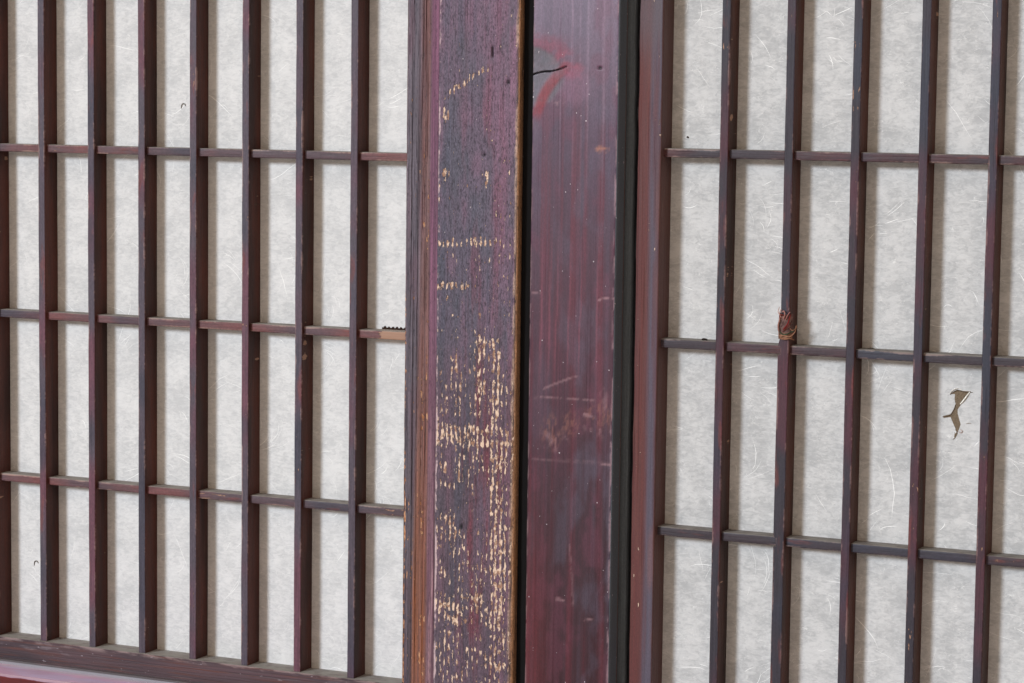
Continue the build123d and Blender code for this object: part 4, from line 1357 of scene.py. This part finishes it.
def paper_fibres(side, seed, count=1500, steps=10):
    """Long fibres in the sheet: each a line whose heading drifts, carried by a flat diamond
    section that stands a little out of both faces of the paper. They are drawn in fours, and
    every other four lies in a bunch, near its first fibre and heading as it does."""
    draw = np.random.default_rng(seed)
    low, high = extent(f"{side}_paper")
    length = draw.gamma(2.0, 9.5, count) + 8.0
    start = np.stack([draw.uniform(low[0], high[0], count),
                      draw.uniform(low[2], high[2], count)], 1)
    heading = 0.12 + draw.normal(0, 0.5, count)
    bend = draw.normal(0, 0.13, count)
    bunch = np.arange(count) // BUNCH
    leader, bunched = bunch * BUNCH, bunch % 2 == 0
    start = np.where(bunched[:, None], start[leader] + draw.normal(0, 4.5, (count, 2)), start)
    heading = np.where(bunched, heading[leader] + draw.normal(0, 0.16, count), heading)
    bend = np.where(bunched, bend[leader] + draw.normal(0, 0.03, count), bend)
    turn = draw.normal(0, 0.13, (count, steps)).cumsum(1)
    angle = heading[:, None] + turn + bend[:, None] * np.arange(steps)
    stride = (length / steps)[:, None]
    x = start[:, :1] + np.cumsum(np.cos(angle) * stride, 1)
    z = start[:, 1:] + np.cumsum(np.sin(angle) * stride, 1)
    inside = (x.min(1) > low[0] + 1) & (x.max(1) < high[0] - 1)
    inside &= (z.min(1) > low[2] + 1) & (z.max(1) < high[2] - 1)
    x, z, angle = x[inside], z[inside], angle[inside]
    kept = len(x)
    taper = np.sin(np.linspace(0.15, math.pi - 0.15, steps)) ** 0.6
    width = (0.32 + draw.gamma(1.5, 0.16, kept).clip(0, 0.6))[:, None] * taper
    middle = (low[1] + high[1]) / 2 + paper_bulge(side, x, z)
    half = (high[1] - low[1]) / 2 + FIBRE_STAND
    marks = [np.stack([x - np.sin(angle) * width * side_way, middle + half * depth_way * taper,
                       z + np.cos(angle) * width * side_way], -1)
             for side_way, depth_way in ((1, 0), (0, -1), (-1, 0), (0, 1))]
    points = np.stack(marks, 2)
    index = np.arange(kept * steps * 4).reshape(kept, steps, 4)
    beside = np.roll(index, -1, 2)
    quads = np.stack([index[:, :-1], beside[:, :-1], beside[:, 1:], index[:, 1:]], -1)
    ends = np.concatenate([index[:, 0, ::-1], index[:, -1]])
    faces = np.concatenate([quads.reshape(-1, 4), ends.reshape(-1, 4)])
    return make_piece(f"{side}_paper_fibres", points.reshape(-1, 3), faces.tolist(),
                      fibre_pulp, tidy=False)


for side, seed in (("left", 301), ("right", 302)):
    sheet = paper_sheet(side)
    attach(sheet, f"{side}_screen")
    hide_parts(f"{side}_paper")
    fibres = paper_fibres(side, seed)
    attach(fibres, f"{side}_screen")


# Loose scraps that the years left: thread, a tear, stray fibres

def smooth_path(points, steps):
    """A Catmull-Rom curve through the points."""
    p = np.asarray(points, float)
    p = np.concatenate([2 * p[:1] - p[1:2], p, 2 * p[-1:] - p[-2:-1]])
    s = np.linspace(0, len(p) - 3, steps + 1)
    i = np.minimum(s.astype(int), len(p) - 4)
    t = (s - i)[:, None]
    a, b, c, d = p[i], p[i + 1], p[i + 2], p[i + 3]
    return 0.5 * (2 * b + (c - a) * t + (2 * a - 5 * b + 4 * c - d) * t**2
                  + (3 * b - a - 3 * c + d) * t**3)


def strand(points, radius, colour, steps=22):
    """A thread: path + radius · (cos a · aside + sin a · upward), thinner towards its ends."""
    path = smooth_path(points, steps)
    heading = np.gradient(path, axis=0)
    heading /= np.maximum(np.linalg.norm(heading, axis=1), NOTHING)[:, None]
    aside = np.cross(heading, [0.13, 0.91, 0.31])
    aside /= np.maximum(np.linalg.norm(aside, axis=1), NOTHING)[:, None]
    upward = np.cross(heading, aside)
    turn = np.linspace(0, 2 * math.pi, 6, endpoint=False)
    reach = radius * (0.35 + 0.65 * np.sin(np.linspace(0.12, math.pi - 0.12, len(path))) ** 0.4)
    ring = (np.cos(turn)[None, :, None] * aside[:, None]
            + np.sin(turn)[None, :, None] * upward[:, None]) * reach[:, None, None]
    vertices, faces = closed_tube(path[:, None] + ring)
    return vertices, faces, plain(colour, vertices.shape[:1])


def joined(name, parts):
    """One piece from (vertices, faces, paint) parts."""
    vertices, faces, paint, count = [], [], [], 0
    for points, quads, colours in parts:
        vertices.append(points)
        faces += [[corner + count for corner in quad] for quad in quads]
        paint.append(colours)
        count += len(points)
    return make_piece(name, np.concatenate(vertices), faces, loose_scrap,
                      {"paint": np.concatenate(paint)}, tidy=False)


def thread_scrap():
    """A scrap of cloth round the front and sides of the second bar of the right screen, bound
    with threads: the bar's outline 0.7 to 1.6 mm further out, creased by noise, with a ragged
    rim."""
    low, high = extent("right_bar_02")
    x0, x1, y0, y1 = low[0] - 0.1, high[0] + 0.1, low[1] - 0.1, low[1] + 4.5
    middle = (x0 + x1) / 2
    outline = np.array([(x0, y1 + 5), (x0, y1), (x0, y0 + 1), (x0 + 1, y0), (middle, y0),
                        (x1 - 1, y0), (x1, y0 + 1), (x1, y0 + 2.4), (x1, y1)])
    around = smooth_path(outline, 40)
    away = around - np.array([middle, (y0 + y1) / 2])
    away /= np.linalg.norm(away, axis=1)[:, None]
    rows = np.linspace(0, 1, 26)
    arc = np.linspace(0, 1, 41)
    creased = 0.7 + 0.9 * layered_noise(arc[None] * 7, rows[:, None] * 5, 401, 4)
    top = 350.5 - 4.0 * layered_noise(arc * 9, 0.5, 402, 4)
    bottom = 331.5 + 1.6 * layered_noise(arc * 6, 0.7, 403, 3)
    z = bottom[None] + (top - bottom)[None] * rows[:, None]
    outer = np.concatenate([around[None] + away[None] * creased[..., None], z[..., None]], -1)
    inner = np.concatenate([np.broadcast_to(around[None], (*z.shape, 2)), z[..., None]], -1)
    vertices, faces = closed_tube(np.concatenate([outer, inner[:, ::-1]], 1))
    height, along = vertices[:, 2], np.arctan2(vertices[:, 0] - middle, 8.0) * 3
    frayed = ease(layered_noise(along * 3, height / 2, 404, 3), 0.3, 0.6)
    paint = over(plain((108, 84, 80), vertices.shape[:1]), ease(height, 344, 348) * frayed,
                 (160, 114, 104))
    paint = over(paint, 1 - ease(height, 334.5, 337.5), (140, 100, 80))
    paint = over(paint, ease(layered_noise(along * 4, height / 1.6, 405, 3), 0.58, 0.7) * 0.8,
                 (54, 36, 36))
    parts = [(vertices, faces, paint)]
    f = y0 - 1.7    # how deep the threads in front of the cloth lie
    for points, radius, colour in (
            ([(195.6, -19, 349.0), (195.7, f, 346.5), (194.6, f - 0.3, 342.5),
              (192.4, f - 0.5, 339.5), (191.4, f, 338.6)], 0.42,
             (122, 34, 34)),
            ([(195.9, -17, 344.5), (195.4, f, 341.5), (193.0, f - 0.4, 338.6),
              (191.0, f - 0.2, 337.2)], 0.36, (104, 50, 44)),
            ([(188.2, -18, 338.2), (189.6, f - 0.2, 336.4), (192.2, f - 0.4, 335.2),
              (195.0, f - 0.2, 336.0), (196.6, -19, 337.2), (199.2, -20, 339.4)], 0.4,
             (60, 74, 56)),
            ([(188.0, -17, 334.8), (189.4, f, 334.2), (192.6, f - 0.2, 334.6),
              (195.8, f + 0.4, 334.0), (198.4, -18.6, 336.8), (199.6, -19, 341.5)], 0.38,
             (158, 116, 92)),
            ([(188.0, -17, 332.8), (190.0, f, 332.5), (193.0, f, 332.2), (196.0, f + 0.6, 332.8),
              (198.0, -18, 331.6)], 0.45, (140, 100, 78)),
            ([(187.9, -16, 336.2), (188.4, f, 337.4), (188.0, f - 0.3, 341.0),
              (188.9, f, 345.5), (188.0, -19.5, 349.0)], 0.5, (150, 108, 98)),
            ([(190.0, f, 346.0), (189.0, f - 0.6, 349.5), (189.9, f, 352.0)], 0.35,
             (176, 130, 118)),
            ([(191.5, f, 345.5), (192.6, f - 0.8, 348.8), (191.6, f, 350.8),
              (190.2, f + 0.2, 350.0)], 0.45, (160, 114, 106)),
            ([(193.0, f, 345.0), (194.4, f - 0.5, 348.0), (195.8, f + 0.6, 350.4)], 0.4,
             (150, 100, 96)),
            ([(188.6, f + 0.4, 348.0), (187.4, f + 0.8, 350.2), (188.0, f + 1.4, 353.4)], 0.25,
             (184, 140, 128)),
            ([(192.0, f, 347.6), (190.4, f - 0.6, 348.4), (189.0, f, 347.4),
              (189.6, f - 0.3, 345.8)], 0.5, (96, 40, 36)),
            ([(194.6, -19.8, 340.0), (197.6, -20.6, 338.2), (200.2, -19.4, 340.2)], 0.25,
             (140, 100, 78))):
        parts.append(strand(points, radius, colour))
    return joined("right_thread_scrap", parts)


TEAR = ((300.4, 300.3), (302.7, 302.1), (305.0, 303.5), (309.0, 302.8), (314.3, 302.9),
        (311.4, 299.7), (308.9, 295.3), (305.7, 290.5), (305.8, 287.8), (308.0, 280.8),
        (306.8, 277.1), (304.6, 271.7), (303.9, 272.3), (304.7, 277.6), (302.6, 282.1),
        (301.2, 285.2), (296.5, 284.3), (296.2, 285.6), (301.5, 287.2), (303.0, 290.0),
        (304.3, 294.0), (303.5, 297.2), (303.7, 300.5))


def paper_tear():
    """A small tear in the right paper: a tan patch that fills it, 0.1 mm proud of the sheet, with
    curled lips of white paper and a dark line under its upper rim."""
    rim = np.array(TEAR)
    face_y = extent("right_paper")[0][1] + paper_bulge("right", rim[:, 0], rim[:, 1])
    front = np.stack([rim[:, 0], face_y - 0.1, rim[:, 1]], 1)
    back = np.stack([rim[:, 0], face_y + 0.12, rim[:, 1]], 1)
    count = len(rim)
    ring = np.arange(count)
    following = np.roll(ring, -1)
    faces = [ring.tolist(), (ring[::-1] + count).tolist()]
    faces += np.stack([ring, ring + count, following + count, following], 1).tolist()
    vertices = np.concatenate([front, back])
    parts = [(vertices, faces, plain((118, 103, 86), vertices.shape[:1]))]
    y = float(face_y.mean())
    for points, radius, colour in (
            ([(313.6, y - 0.3, 302.5), (311.6, y - 1.0, 299.6), (309.4, y - 1.0, 296.5),
              (307.4, y - 0.3, 294.1)], 0.5, (246, 243, 234)),
            ([(300.2, y - 0.2, 300.4), (301.8, y - 0.7, 302.6), (305.0, y - 0.8, 304.4),
              (308.0, y - 0.3, 303.6)], 0.32, (236, 232, 226)),
            ([(300.6, y - 0.2, 300.0), (302.8, y - 0.3, 301.8), (306.0, y - 0.3, 303.0),
              (310.0, y - 0.3, 302.2), (315.4, y - 0.2, 302.2)], 0.3, (84, 70, 56)),
            ([(295.9, y - 0.2, 285.0), (298.6, y - 0.3, 285.6), (301.4, y - 0.3, 287.0),
              (303.6, y - 0.3, 291.0), (304.2, y - 0.2, 293.6)], 0.34, (96, 80, 66)),
            ([(311.6, y - 0.1, 281.4), (313.4, y - 0.2, 281.9), (315.0, y - 0.1, 281.8)], 0.22,
             (146, 132, 118)),
            ([(308.0, y - 0.2, 277.4), (309.4, y - 0.5, 276.4), (308.4, y - 0.5, 275.4),
              (306.6, y - 0.2, 275.8)], 0.28, (190, 168, 160)),
            ([(304.6, y - 0.3, 276.4), (305.2, y - 0.9, 275.8), (305.0, y - 0.3, 275.0)], 0.5,
             (252, 252, 250)),
            ([(303.2, y - 0.1, 270.6), (304.4, y - 0.2, 271.8), (306.2, y - 0.2, 275.0)], 0.26,
             (126, 112, 96))):
        parts.append(strand(points, radius, colour))
    return joined("right_paper_tear", parts)


def stray_bits():
    """Dark stray fibres on both papers, crumbs on the crossbars, and a dark brown strip under the
    stile: small teeth along a level line."""
    left_y = extent("left_paper")[0][1]
    right_y = extent("right_paper")[0][1]
    top = extent("right_crossbar_2")[1][2]
    left = [strand([(-303.6, left_y - 0.1, 477.8), (-302.8, left_y - 0.4, 480.6),
                    (-300.8, left_y - 0.4, 481.4), (-299.6, left_y - 0.1, 479.6)], 0.28,
                   (92, 82, 72)),
            strand([(-439.6, left_y - 0.1, 116.6), (-439.0, left_y - 0.4, 119.6),
                    (-437.0, left_y - 0.5, 120.6), (-435.4, left_y - 0.2, 118.8)], 0.3,
                   (88, 78, 70))]
    shelf = extent("left_crossbar_2")[1][2]
    x = np.linspace(-131.0, -104.5, 54)
    tooth = abs(((x / 3.3) % 1) - 0.5) * 2
    height = 0.9 + 1.5 * tooth * (0.4 + layered_noise(x / 4.0, 0.3, 411, 3))
    section_z = np.stack([np.full_like(x, shelf - 0.3), np.full_like(x, shelf - 0.3),
                          shelf + height, shelf + height], 1)
    section_y = np.array([left_y - 0.5, left_y + 0.1, left_y + 0.1, left_y - 0.4])
    points = np.stack([np.broadcast_to(x[:, None], section_z.shape),
                       np.broadcast_to(section_y[None], section_z.shape), section_z], -1)
    vertices, faces = closed_tube(points)
    left.append((vertices, faces, plain((52, 36, 28), vertices.shape[:1])))
    right = [strand([(130.6, -12, top + 0.5), (132.4, -12.6, top + 0.9),
                     (134.6, -12, top + 0.5)], 0.75, (44, 36, 32)),
             strand([(113.9, right_y, 463.6), (114.3, right_y - 0.3, 464.4)], 0.9,
                    (66, 56, 50), steps=6),
             strand([(246.0, -10, top + 0.3), (248.2, -9.2, top + 0.6),
                     (251.0, -9.8, top + 0.3)], 0.4, (70, 58, 48))]
    return joined("left_stray_bits", left), joined("right_stray_bits", right)


left_bits, right_bits = stray_bits()
for piece, side in ((thread_scrap(), "right"), (paper_tear(), "right"), (right_bits, "right"),
                    (left_bits, "left")):
    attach(piece, f"{side}_screen")


# Floor, light and camera

def pale_stage():
    """A wide pale floor under the sill, which keeps the object's shadow."""
    stage = Finish("pale_floor", 0.8, 0.2)
    shade = stage.ease(stage.noise(stage.place, 2.0, 4.0), 0.2, 0.8, 0.72, 0.76)
    grey = stage.put("ShaderNodeCombineColor", {0: shade, 1: shade, 2: shade}).outputs[0]
    stage.feed(stage.inputs["Base Color"], grey)
    half = 9.0      # half the floor's width, in metres
    mesh = bpy.data.meshes.new("floor")
    mesh.from_pydata([(-half, -half, 0), (half, -half, 0), (half, half, 0), (-half, half, 0)],
                     [], [(0, 1, 2, 3)])
    mesh.materials.append(stage.material)
    floor = put_in_scene("floor", mesh)


def light_world(sky, strength):
    """A plain fill from all round. Seen directly, or mirrored, it is white."""
    world = bpy.data.worlds.new("studio")
    scene.world = world
    world.use_nodes = True
    tree = Tree(world.node_tree)
    world.node_tree.nodes.clear()
    path = tree.put("ShaderNodeLightPath").outputs
    seen = tree.calc("MAXIMUM", path["Is Camera Ray"], path["Is Glossy Ray"])
    seen = tree.calc("MAXIMUM", seen, path["Is Transmission Ray"])
    colour = tree.blend(seen, sky, (1, 1, 1, 1))
    power = tree.add(strength, tree.times(seen, 1.0 - strength))
    background = tree.put("ShaderNodeBackground", {"Color": colour, "Strength": power})
    output = tree.put("ShaderNodeOutputWorld")
    world.node_tree.links.new(background.outputs[0], output.inputs[0])


def low_sun(azimuth, height, power, spread, colour):
    """Soft sun from the left front. azimuth is in degrees left of the front's middle, height in
    degrees above the floor."""
    lamp = bpy.data.lights.new("sun", "SUN")
    lamp.energy, lamp.angle, lamp.color = power, spread, colour
    sun = put_in_scene("sun", lamp)
    turn, rise = math.radians(azimuth), math.radians(height)
    towards = Vector((-math.sin(turn) * math.cos(rise), -math.cos(turn) * math.cos(rise),
                      math.sin(rise)))
    sun.rotation_euler = towards.to_track_quat("Z", "Y").to_euler()


def set_camera(place, yaw, pitch, roll, lens):
    """A camera that looks along (sin yaw cos pitch, cos yaw cos pitch, sin pitch). The angles
    are in radians, its place in millimetres, and the lens in millimetres on a 36 mm sensor."""
    ahead = Vector((math.sin(yaw) * math.cos(pitch), math.cos(yaw) * math.cos(pitch),
                    math.sin(pitch)))
    right = Vector((math.cos(yaw), -math.sin(yaw), 0))
    down = ahead.cross(right)
    tilted_right = right * math.cos(roll) + down * math.sin(roll)
    tilted_down = down * math.cos(roll) - right * math.sin(roll)
    lens_data = bpy.data.cameras.new("camera")
    lens_data.lens, lens_data.sensor_width = lens, 36.0
    lens_data.clip_start, lens_data.clip_end = 0.05, 50.0
    camera = put_in_scene("camera", lens_data)
    turn = Matrix((tilted_right, -tilted_down, -ahead)).transposed().to_4x4()
    camera.matrix_world = Matrix.Translation(Vector(place) * MM) @ turn
    scene.camera = camera


pale_stage()
light_world(sky=(1.0, 0.765, 0.565, 1.0), strength=0.595)
low_sun(azimuth=25.6, height=17.0, power=2.45, spread=0.19, colour=(0.894, 0.991, 1.083))
set_camera(place=(739.3, -1627.5, 490.6), yaw=-0.4348, pitch=-0.0959, roll=-0.0127, lens=89.91)
scene.view_settings.view_transform = "Standard"
